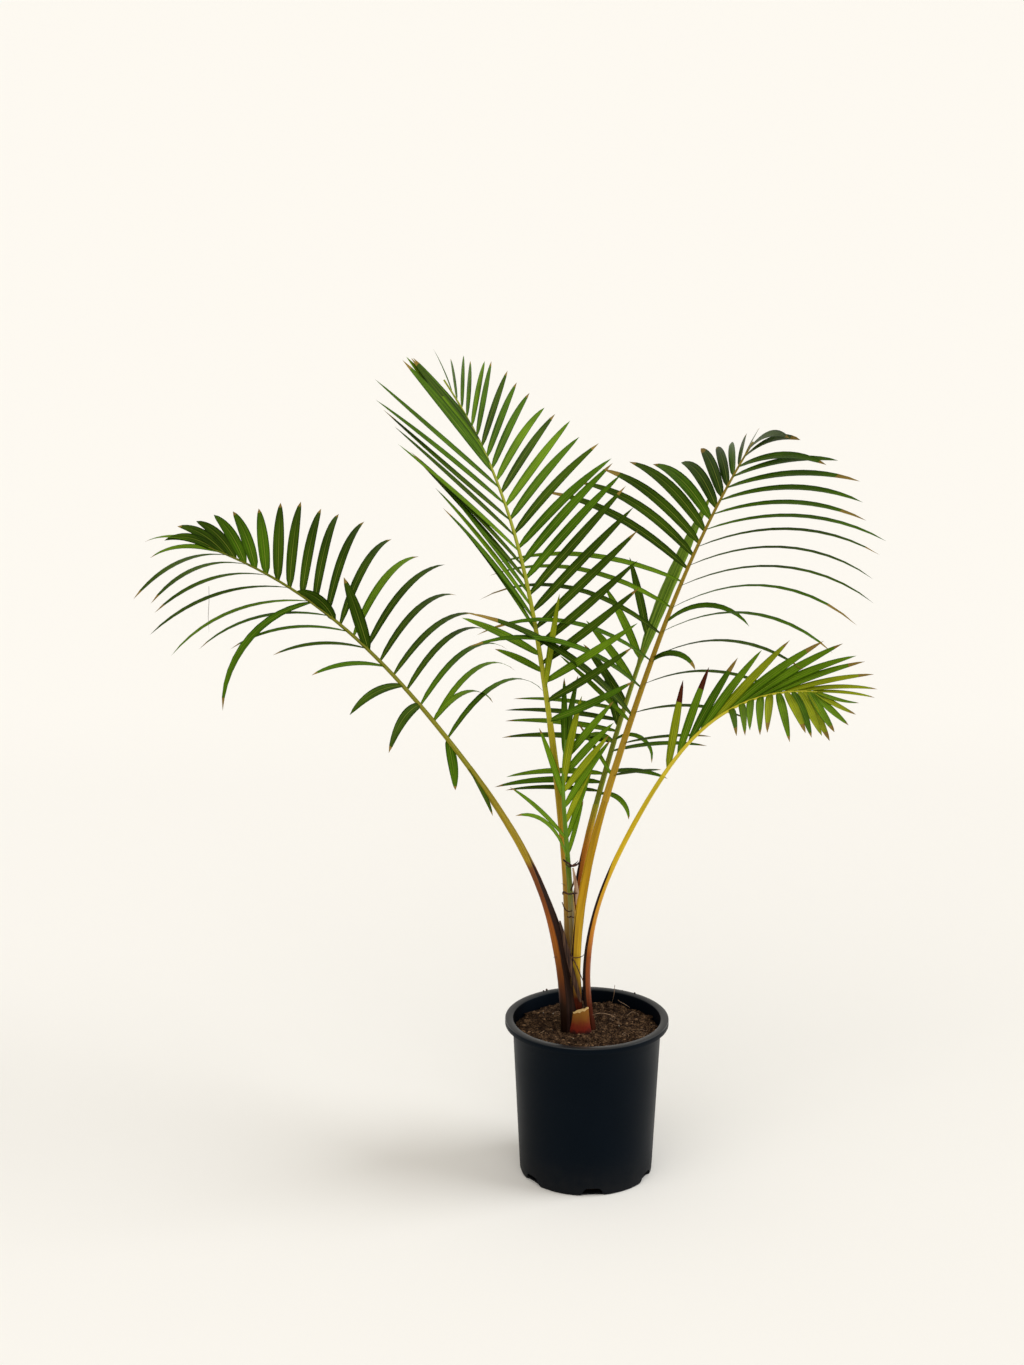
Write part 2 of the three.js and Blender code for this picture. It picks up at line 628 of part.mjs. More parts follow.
const palm = new THREE.Group();
palm.name = "potted_palm";
for (const [name, manifold] of Object.entries(pieces)) {
  const mesh = new THREE.Mesh(geometryOf(manifold), new THREE.MeshStandardMaterial({
    color: COLOURS[name],
    roughness: ROUGHNESS[name] ?? PLANT_ROUGHNESS,
    metalness: 0,
  }));
  mesh.name = name;
  palm.add(mesh);
}

export default palm;
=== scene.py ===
import math

import bpy
import numpy as np
from mathutils import Matrix, Vector, noise


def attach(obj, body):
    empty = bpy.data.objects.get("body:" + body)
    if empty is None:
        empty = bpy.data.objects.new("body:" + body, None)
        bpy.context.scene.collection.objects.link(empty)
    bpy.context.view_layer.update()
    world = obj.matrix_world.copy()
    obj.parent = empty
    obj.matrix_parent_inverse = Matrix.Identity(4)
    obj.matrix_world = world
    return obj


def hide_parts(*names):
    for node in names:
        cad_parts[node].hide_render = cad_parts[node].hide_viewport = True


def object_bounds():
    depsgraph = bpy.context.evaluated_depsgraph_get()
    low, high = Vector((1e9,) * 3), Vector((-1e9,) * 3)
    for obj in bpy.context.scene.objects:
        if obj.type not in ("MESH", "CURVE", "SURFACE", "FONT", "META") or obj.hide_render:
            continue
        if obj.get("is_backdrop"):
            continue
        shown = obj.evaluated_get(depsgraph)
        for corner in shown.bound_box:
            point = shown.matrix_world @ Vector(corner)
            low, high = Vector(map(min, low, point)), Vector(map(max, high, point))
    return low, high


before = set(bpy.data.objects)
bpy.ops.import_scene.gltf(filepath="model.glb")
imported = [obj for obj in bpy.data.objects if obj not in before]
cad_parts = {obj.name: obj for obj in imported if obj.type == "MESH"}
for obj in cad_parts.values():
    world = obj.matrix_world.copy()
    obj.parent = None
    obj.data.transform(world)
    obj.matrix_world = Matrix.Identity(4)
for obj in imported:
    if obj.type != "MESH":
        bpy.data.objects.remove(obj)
cad_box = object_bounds()

# Nursery pot: one thin shell of dark blue-grey polypropylene, injection moulded
# with a folded rim, a faint ring below it and six drain notches in the foot.
MM = 0.001
POT_HEIGHT = 250 * MM
POT_FOOT_RADIUS = 102 * MM
POT_SHOULDER_RADIUS = 113.4 * MM
POT_RIM_RADIUS = 125 * MM
POT_WALL = 2 * MM
RIM_BAND = 9.5 * MM
RING_BELOW_RIM = 25 * MM
NOTCHES = 6
NOTCH_FIRST = math.radians(-85.7)
NOTCH_FOOT_WIDTH = 44 * MM
NOTCH_TOP_WIDTH = 22 * MM
NOTCH_HEIGHT = 13 * MM
NOTCH_DEPTH = 7 * MM
NOTCH_CORNER = 5 * MM
CUTTER_LENGTH = 40 * MM
CUTTER_BELOW = 4 * MM
FOOT_BEND = 4 * MM
FLOOR_THICK = 2.5 * MM
DUST_HEIGHT = 70 * MM
WORN_EDGE = 2.5 * MM


class Signal:
    """A value inside a finish; arithmetic on it adds Math nodes."""

    def __init__(self, finish, socket):
        self.finish = finish
        self.socket = socket

    def math(self, operation, first, second=0.0):
        return self.finish.node("ShaderNodeMath", {"operation": operation}, {0: first, 1: second})

    def __add__(self, other):
        return self.math("ADD", self, other)

    def __radd__(self, other):
        return self.math("ADD", other, self)

    def __sub__(self, other):
        return self.math("SUBTRACT", self, other)

    def __rsub__(self, other):
        return self.math("SUBTRACT", other, self)

    def __mul__(self, other):
        return self.math("MULTIPLY", self, other)

    def __rmul__(self, other):
        return self.math("MULTIPLY", other, self)

    def __abs__(self):
        return self.math("ABSOLUTE", self)


class Finish:
    """A procedural material, built round one Principled shader."""

    def __init__(self, name, **fixed):
        self.material = bpy.data.materials.new(name)
        self.material.use_nodes = True
        self.tree = self.material.node_tree
        self.shader = self.tree.nodes["Principled BSDF"]
        for key, value in fixed.items():
            self.shader.inputs[key.replace("_", " ")].default_value = value

    def node(self, kind, settings=None, values=None, output=0):
        made = self.tree.nodes.new(kind)
        for key, value in (settings or {}).items():
            if key == "stops":
                ramp = made.color_ramp
                while len(ramp.elements) < len(value):
                    ramp.elements.new(0.5)
                for element, (place, colour) in zip(ramp.elements, value):
                    element.position = place
                    element.color = (*colour, 1)
            else:
                setattr(made, key, value)
        for key, value in (values or {}).items():
            self.feed(made.inputs[key], value)
        return Signal(self, made.outputs[output])

    def feed(self, socket, value):
        if isinstance(value, Signal):
            self.tree.links.new(value.socket, socket)
        elif isinstance(value, tuple) and len(value) == 3 and socket.type == "RGBA":
            socket.default_value = (*value, 1)
        else:
            socket.default_value = value

    def blend(self, share, low, high, kind="MIX"):
        settings = {"data_type": "RGBA", "blend_type": kind}
        return self.node("ShaderNodeMix", settings, {0: share, 6: low, 7: high}, 2)

    def object_place(self):
        return self.node("ShaderNodeTexCoord", output=3)

    def uv_place(self):
        return self.node("ShaderNodeTexCoord", output=2)

    def axis(self, place, number):
        """One coordinate of a place: 0 is its X, 1 its Y and 2 its Z."""
        return self.node("ShaderNodeSeparateXYZ", values={0: place}, output=number)

    def grain(self, scale, detail=3.0, place=None, stretch=(1, 1, 1), roughness=0.5):
        source = place or self.object_place()
        spread = self.node("ShaderNodeMapping", values={"Vector": source, "Scale": stretch})
        values = {"Vector": spread, "Scale": scale, "Detail": detail, "Roughness": roughness}
        return self.node("ShaderNodeTexNoise", values=values)

    def ramp(self, value, stops):
        return self.node("ShaderNodeValToRGB", {"stops": stops}, {"Fac": value})

    def smooth(self, value, low, high):
        """0 at low and 1 at high, with a soft step between them."""
        settings = {"interpolation_type": "SMOOTHSTEP"}
        return self.node("ShaderNodeMapRange", settings, {"Value": value, "From Min": low, "From Max": high})

    def relief(self, height, distance, strength=1.0):
        values = {"Height": height, "Distance": distance, "Strength": strength}
        self.set("Normal", self.node("ShaderNodeBump", values=values))

    def set(self, name, value):
        self.feed(self.shader.inputs[name], value)


def clear_selection():
    if bpy.context.object and bpy.context.object.mode != "OBJECT":
        bpy.ops.object.mode_set(mode="OBJECT")
    bpy.ops.object.select_all(action="DESELECT")


def next_ring(lift, grow):
    """Extrudes the open edge of a round shell by a height and widens it evenly."""
    bpy.ops.mesh.extrude_edges_move(TRANSFORM_OT_translate={"value": (0, 0, lift)})
    bpy.ops.transform.resize(value=(grow, grow, 1), center_override=(0, 0, 0))


def settle(piece, name, finishes, node=None):
    """Names a piece, gives it its finishes and slot, and lets it stand for its solid."""
    piece.name = name
    piece.data.name = name
    for finish in finishes:
        piece.data.materials.append(finish.material)
    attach(piece, "root")
    if node:
        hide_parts(node)


pot_plastic = Finish(
    "moulded_pot_plastic", Roughness=0.42, Specular_IOR_Level=0.07, Specular_Tint=(0.45, 0.72, 1.0, 1),
    Coat_Roughness=0.35)
mottle = pot_plastic.grain(14, 4)
dust = pot_plastic.grain(60, 5)
height = pot_plastic.axis(pot_plastic.object_place(), 2)
low_dust = 0.35 * pot_plastic.smooth(height, DUST_HEIGHT, 0.0)
plastic = pot_plastic.blend(mottle, (0.0008, 0.0015, 0.0030), (0.0020, 0.0034, 0.0060))
pot_plastic.set("Base Color", pot_plastic.blend(low_dust * dust, plastic, (0.030, 0.026, 0.021)))
pot_plastic.set("Roughness", 0.36 + 0.16 * mottle + 0.3 * low_dust)
worn_rim = pot_plastic.smooth(height, POT_HEIGHT - WORN_EDGE, POT_HEIGHT - 0.6 * MM)
pot_plastic.set("Coat Weight", 0.9 * worn_rim)
pot_plastic.relief(pot_plastic.grain(900, 2), 0.00012, 0.35)

POT_STEPS = [
    # radius and height of each ring of the shell, from the foot round the rim to the floor
    (POT_FOOT_RADIUS - FOOT_BEND, 0), (POT_FOOT_RADIUS - 1.2 * MM, 1.0 * MM), (POT_FOOT_RADIUS, FOOT_BEND),
]
ring_height = POT_HEIGHT - RING_BELOW_RIM
slope = (POT_SHOULDER_RADIUS - POT_FOOT_RADIUS) / (POT_HEIGHT - RIM_BAND)
for share in (0.06, 0.3, 0.55, 0.8, 0.99):
    z = FOOT_BEND + (ring_height - FOOT_BEND) * share
    POT_STEPS.append((POT_FOOT_RADIUS + slope * z, z))
POT_STEPS += [
    (POT_FOOT_RADIUS + slope * ring_height + 0.7 * MM, ring_height + 0.8 * MM),
    (POT_SHOULDER_RADIUS + 0.7 * MM, POT_HEIGHT - 4 * MM),
    (POT_SHOULDER_RADIUS + 1.2 * MM, POT_HEIGHT - 3.2 * MM),
    (POT_RIM_RADIUS - 2.2 * MM, POT_HEIGHT - 3.2 * MM),
    (POT_RIM_RADIUS - 1.8 * MM, POT_HEIGHT - RIM_BAND + 0.2 * MM),
    (POT_RIM_RADIUS - 0.3 * MM, POT_HEIGHT - RIM_BAND),
    (POT_RIM_RADIUS, POT_HEIGHT - RIM_BAND + 0.6 * MM),
    (POT_RIM_RADIUS, POT_HEIGHT - 1.6 * MM),
    (POT_RIM_RADIUS - 0.5 * MM, POT_HEIGHT - 0.5 * MM),
    (POT_RIM_RADIUS - 1.8 * MM, POT_HEIGHT),
    (POT_SHOULDER_RADIUS + 1.2 * MM, POT_HEIGHT - 0.2 * MM),
    (POT_SHOULDER_RADIUS - 0.4 * MM, POT_HEIGHT - 1.2 * MM),
    (POT_SHOULDER_RADIUS - 1.4 * MM, POT_HEIGHT - 4 * MM),
    (POT_SHOULDER_RADIUS - 2.2 * MM, POT_HEIGHT - 30 * MM),
    (POT_FOOT_RADIUS - POT_WALL, 6 * MM),
    (POT_FOOT_RADIUS - POT_WALL - 3 * MM, FLOOR_THICK),
    (2 * MM, FLOOR_THICK),
]
clear_selection()
bpy.ops.mesh.primitive_circle_add(vertices=128, radius=POT_STEPS[0][0], fill_type="NGON")
pot = bpy.context.object
bpy.ops.object.mode_set(mode="EDIT")
bpy.ops.mesh.select_mode(type="EDGE")
bpy.ops.mesh.select_all(action="SELECT")
bpy.ops.mesh.region_to_loop()
for (radius, level), (next_radius, next_level) in zip(POT_STEPS, POT_STEPS[1:]):
    next_ring(next_level - level, next_radius / radius)
bpy.ops.mesh.fill()
bpy.ops.mesh.select_all(action="SELECT")
bpy.ops.mesh.normals_make_consistent(inside=False)
bpy.ops.object.mode_set(mode="OBJECT")
cutters = []
for index in range(NOTCHES):
    clear_selection()
    bpy.ops.mesh.primitive_cube_add(size=1, location=(0, 0, 0))
    cutter = bpy.context.object
    bpy.ops.object.mode_set(mode="EDIT")
    bpy.ops.transform.resize(value=(NOTCH_FOOT_WIDTH, CUTTER_LENGTH, NOTCH_HEIGHT + CUTTER_BELOW))
    bpy.ops.transform.translate(value=(
        0, NOTCH_DEPTH - CUTTER_LENGTH / 2 - POT_FOOT_RADIUS, (NOTCH_HEIGHT - CUTTER_BELOW) / 2))
    bpy.ops.object.mode_set(mode="OBJECT")
    for vertex in cutter.data.vertices:
        if vertex.co.z > 0:
            vertex.co.x *= NOTCH_TOP_WIDTH / NOTCH_FOOT_WIDTH
    bevel = cutter.modifiers.new("soft_arch", "BEVEL")
    bevel.width = NOTCH_CORNER
    bevel.segments = 5
    bevel.limit_method = "ANGLE"
    bpy.ops.object.modifier_apply(modifier="soft_arch")
    cutter.data.transform(Matrix.Rotation(NOTCH_FIRST + math.pi / 2 + index * math.tau / NOTCHES, 4, "Z"))
    cutters.append(cutter)
for cutter in cutters:
    cut = pot.modifiers.new("notch", "BOOLEAN")
    cut.operation = "DIFFERENCE"
    cut.object = cutter
    clear_selection()
    bpy.context.view_layer.objects.active = pot
    pot.select_set(True)
    bpy.ops.object.modifier_apply(modifier="notch")
    bpy.data.objects.remove(cutter)
bpy.ops.object.shade_smooth_by_angle(angle=math.radians(38))
settle(pot, "nursery_pot", [pot_plastic], "pot")

# Potting soil: moist peat and bark, dark brown, filled to just under the rim. Its
# crumbs, bark chips, pale grit and curled roots lie loose on the surface, and a few
# crumbs lie on the rim.
SOIL_TOP = 232 * MM
SOIL_RADIUS = 111 * MM
SOIL_FOOT_RADIUS = 84 * MM
SOIL_FOOT = 3 * MM
SOIL_RINGS = 60
SOIL_RIPPLES = (
    # waves in a metre, offset and height of each layer of unevenness
    (28, 3.1, 3.5 * MM), (150, 7.7, 1.5 * MM), (600, 1.3, 0.8 * MM),
)
CALM_RADIUS = 20 * MM
CALM_BORDER = 40 * MM
BANK_RADIUS = 97 * MM
BANK_SLOPE = 0.25
CRUMBS = 3000
CLODS = 520
CHIPS = 620
GRIT = 12
ROOTLETS = 18
ROOTLET_STEPS = 11
ROOTLET_NEAREST = 30 * MM
ROOTLET_SPREAD = 70 * MM
ROOTLET_THICK = 0.45 * MM
LONG_ROOTS = (
    # in millimetres: depth, half thickness, and x and z along each. The first is the long
    # root in front of the crown on the right, the others are the dead twigs behind it
    (-20, 0.6, (
        (7, 261), (13, 262.8), (19, 264), (27, 263.2), (35, 261), (42, 257.3), (47, 253), (50, 243))),
    (60, 0.5, ((45, 278), (44, 263), (41, 248))),
    (60, 0.5, ((50, 253), (55, 249), (61, 246), (69, 240))),
)
RIM_CRUMBS = ((-65, 105), (-60, 109), (59, 107), (78, 95))


def chance(seed):
    """Seeded noise in 0..1."""
    value = math.sin(seed * 12.9898 + 4.1) * 43758.5453
    return value - math.floor(value)


def soil_height(x, y):
    """Height of the soil's uneven surface, calmer round the crown."""
    reach = math.hypot(x, y)
    broad, fine, tiny = (
        rise * noise.noise(Vector((x * waves, y * waves, offset))) for waves, offset, rise in SOIL_RIPPLES)
    calm = min(1.0, max(0.25, (reach - CALM_RADIUS) / CALM_BORDER))
    return SOIL_TOP + calm * (broad + fine) + tiny - max(0.0, reach - BANK_RADIUS) * BANK_SLOPE


soil_mix = Finish("potting_soil", Roughness=0.95, Specular_IOR_Level=0.1)
clods = soil_mix.grain(95, 6, roughness=0.7)
specks = soil_mix.grain(420, 3)
soil_mix.set("Base Color", soil_mix.ramp(clods * 0.6 + specks * 0.4, [
    (0.36, (0.003, 0.0015, 0.001)), (0.5, (0.032, 0.016, 0.008)), (0.64, (0.17, 0.100, 0.052))]))
soil_mix.relief(clods + specks * 0.5, 0.0020, 1.0)
bark_chip = Finish("bark_chips", Roughness=0.9, Specular_IOR_Level=0.15)
bark_chip.set("Base Color", bark_chip.ramp(bark_chip.grain(230, 3), [
    (0.34, (0.014, 0.006, 0.003)), (0.66, (0.21, 0.122, 0.062))]))
pale_grit = Finish("pale_grit", Base_Color=(0.75, 0.70, 0.60, 1), Roughness=0.8)
root_skin = Finish("dry_rootlets", Roughness=0.8)
root_skin.set("Base Color", root_skin.ramp(root_skin.grain(80, 2), [
    (0.3, (0.10, 0.055, 0.03)), (0.7, (0.33, 0.21, 0.12))]))

clear_selection()
bpy.ops.mesh.primitive_circle_add(
    vertices=96, radius=SOIL_FOOT_RADIUS, fill_type="NGON", location=(0, 0, SOIL_FOOT))
soil = bpy.context.object
bpy.ops.object.transform_apply(location=True)
bpy.ops.object.mode_set(mode="EDIT")
bpy.ops.mesh.select_all(action="SELECT")
bpy.ops.mesh.region_to_loop()
next_ring(SOIL_TOP - 2 * SOIL_FOOT, SOIL_RADIUS / SOIL_FOOT_RADIUS)
for ring in range(SOIL_RINGS, 1, -1):
    next_ring(0, (ring - 1) / ring)
bpy.ops.mesh.fill()
bpy.ops.mesh.select_all(action="SELECT")
bpy.ops.mesh.normals_make_consistent(inside=False)
bpy.ops.object.mode_set(mode="OBJECT")
for vertex in soil.data.vertices:
    if vertex.co.z > SOIL_TOP - 20 * MM:
        vertex.co.z = soil_height(vertex.co.x, vertex.co.y)
bpy.ops.object.shade_smooth()
settle(soil, "soil_surface", [soil_mix], "soil")


def joined_mesh(vertices, faces, uvs=None, picks=None):
    """One mesh object from arrays of corners, faces, UVs and finish picks."""
    mesh = bpy.data.meshes.new("joined")
    mesh.from_pydata([tuple(v) for v in vertices], [], [tuple(f) for f in faces])
    if uvs is not None:
        layer = mesh.uv_layers.new(name="UVMap")
        corners = np.array([loop.vertex_index for loop in mesh.loops])
        layer.data.foreach_set("uv", np.asarray(uvs, float)[corners].ravel())
    if picks is not None:
        mesh.polygons.foreach_set("material_index", np.asarray(picks, int))
    mesh.update()
    made = bpy.data.objects.new("joined", mesh)
    bpy.context.scene.collection.objects.link(made)
    return made


def scatter(name, count, seed, size, flatness, finish, places=None):
    """Little lumps strewn over the soil, or at given places, each a squashed grain."""
    grain = np.array([(1, 0, 0), (-1, 0, 0), (0, 1, 0), (0, -1, 0), (0, 0, 1), (0, 0, -1)], float)
    sides = [(0, 2, 4), (2, 1, 4), (1, 3, 4), (3, 0, 4), (2, 0, 5), (1, 2, 5), (3, 1, 5), (0, 3, 5)]
    vertices = []
    faces = []
    for i in range(count):
        n = seed + i * 7.31
        reach = (SOIL_RADIUS - 3 * MM) * math.sqrt(chance(n))
        turn = math.tau * chance(n + 1.7)
        x, y = reach * math.cos(turn), reach * math.sin(turn)
        z = soil_height(x, y)
        if places:
            x, y, z = places[i]
        big = size * (0.4 + 1.2 * chance(n + 2.9) ** 2)
        stretch = np.array([big * (1 + chance(n + 3.3)), big, big * flatness])
        spin = Matrix.Rotation(math.tau * chance(n + 4.1), 3, "Z")
        tilt = spin @ Matrix.Rotation(chance(n + 5.9) - 0.5, 3, "X")
        lump = (grain * (0.75 + 0.5 * chance(n + 6.1)) * stretch) @ np.array(tilt).T
        start = len(vertices)
        vertices.extend(lump + np.array([x, y, z + big * flatness * 0.4]))
        faces.extend([tuple(start + k for k in side) for side in sides])
    settle(joined_mesh(vertices, faces), name, [finish])


scatter("soil_crumbs", CRUMBS, 11.0, 1.5 * MM, 0.8, soil_mix)
scatter("soil_clods", CLODS, 433.0, 3.0 * MM, 0.75, soil_mix)
scatter("soil_bark_chips", CHIPS, 977.0, 1.9 * MM, 0.5, bark_chip)
scatter("soil_pale_grit", GRIT, 5003.0, 1.1 * MM, 0.7, pale_grit)
rim_places = [(x * MM, y * MM, POT_HEIGHT) for x, y in RIM_CRUMBS]
scatter("rim_crumbs", len(rim_places), 77.0, 1.7 * MM, 0.8, soil_mix, rim_places)


def thread(points, radius, sides=5):
    """Corners and faces of a thin tube through points, tapering to its ends."""
    points = np.asarray(points, float)
    vertices = []
    for i, point in enumerate(points):
        ahead = points[min(i + 1, len(points) - 1)] - points[max(i - 1, 0)]
        ahead = Vector(ahead).normalized()
        across = ahead.orthogonal().normalized()
        up = ahead.cross(across)
        share = i / (len(points) - 1)
        thick = radius * (0.25 + 0.75 * math.sin(math.pi * min(1, 0.15 + 0.85 * share)) ** 0.5)
        for k in range(sides):
            a = math.tau * k / sides
            vertices.append(Vector(point) + (across * math.cos(a) + up * math.sin(a)) * thick)
    faces = []
    for i in range(len(points) - 1):
        for k in range(sides):
            low, high = i * sides, (i + 1) * sides
            faces.append((low + k, low + (k + 1) % sides, high + (k + 1) % sides, high + k))
    faces.append(tuple(range(sides))[::-1])
    faces.append(tuple(range((len(points) - 1) * sides, len(points) * sides)))
    return vertices, faces


def threads(name, runs, finish):
    """Many thin tubes in one mesh; each run is its points and its radius."""
    vertices = []
    faces = []
    for points, radius in runs:
        tube_vertices, tube_faces = thread(points, radius)
        start = len(vertices)
        vertices.extend(tube_vertices)
        faces.extend([tuple(start + k for k in face) for face in tube_faces])
    made = joined_mesh(vertices, faces)
    made.data.shade_smooth()
    settle(made, name, [finish])


root_runs = []
for i in range(ROOTLETS):
    n = 311 + i * 3.77
    reach = ROOTLET_NEAREST + ROOTLET_SPREAD * math.sqrt(chance(n))
    turn = -1.2 + 2.4 * chance(n + 0.9) if i % 3 else math.tau * chance(n + 0.9)
    x, y = reach * math.cos(turn), reach * math.sin(turn)
    facing = math.tau * chance(n + 1.3)
    curl = 1.5 + 4.5 * chance(n + 2.1)
    length = (12 + 22 * chance(n + 2.7)) * MM
    arch = 4 * MM * chance(n + 3.9)
    points = []
    for k in range(ROOTLET_STEPS + 1):
        share = k / ROOTLET_STEPS
        facing += curl / ROOTLET_STEPS * (1 if i % 2 else -1)
        x += math.cos(facing) * length / ROOTLET_STEPS
        y += math.sin(facing) * length / ROOTLET_STEPS
        if math.hypot(x, y) > SOIL_RADIUS - 4 * MM:
            break
        points.append((x, y, soil_height(x, y) + 0.6 * MM + arch * math.sin(math.pi * share)))
    if len(points) > 4:
        root_runs.append((points, ROOTLET_THICK))
for depth, radius, places in LONG_ROOTS:
    root_runs.append(([Vector((x, depth, z)) * MM for x, z in places], radius * MM))
threads("soil_rootlets", root_runs, root_skin)

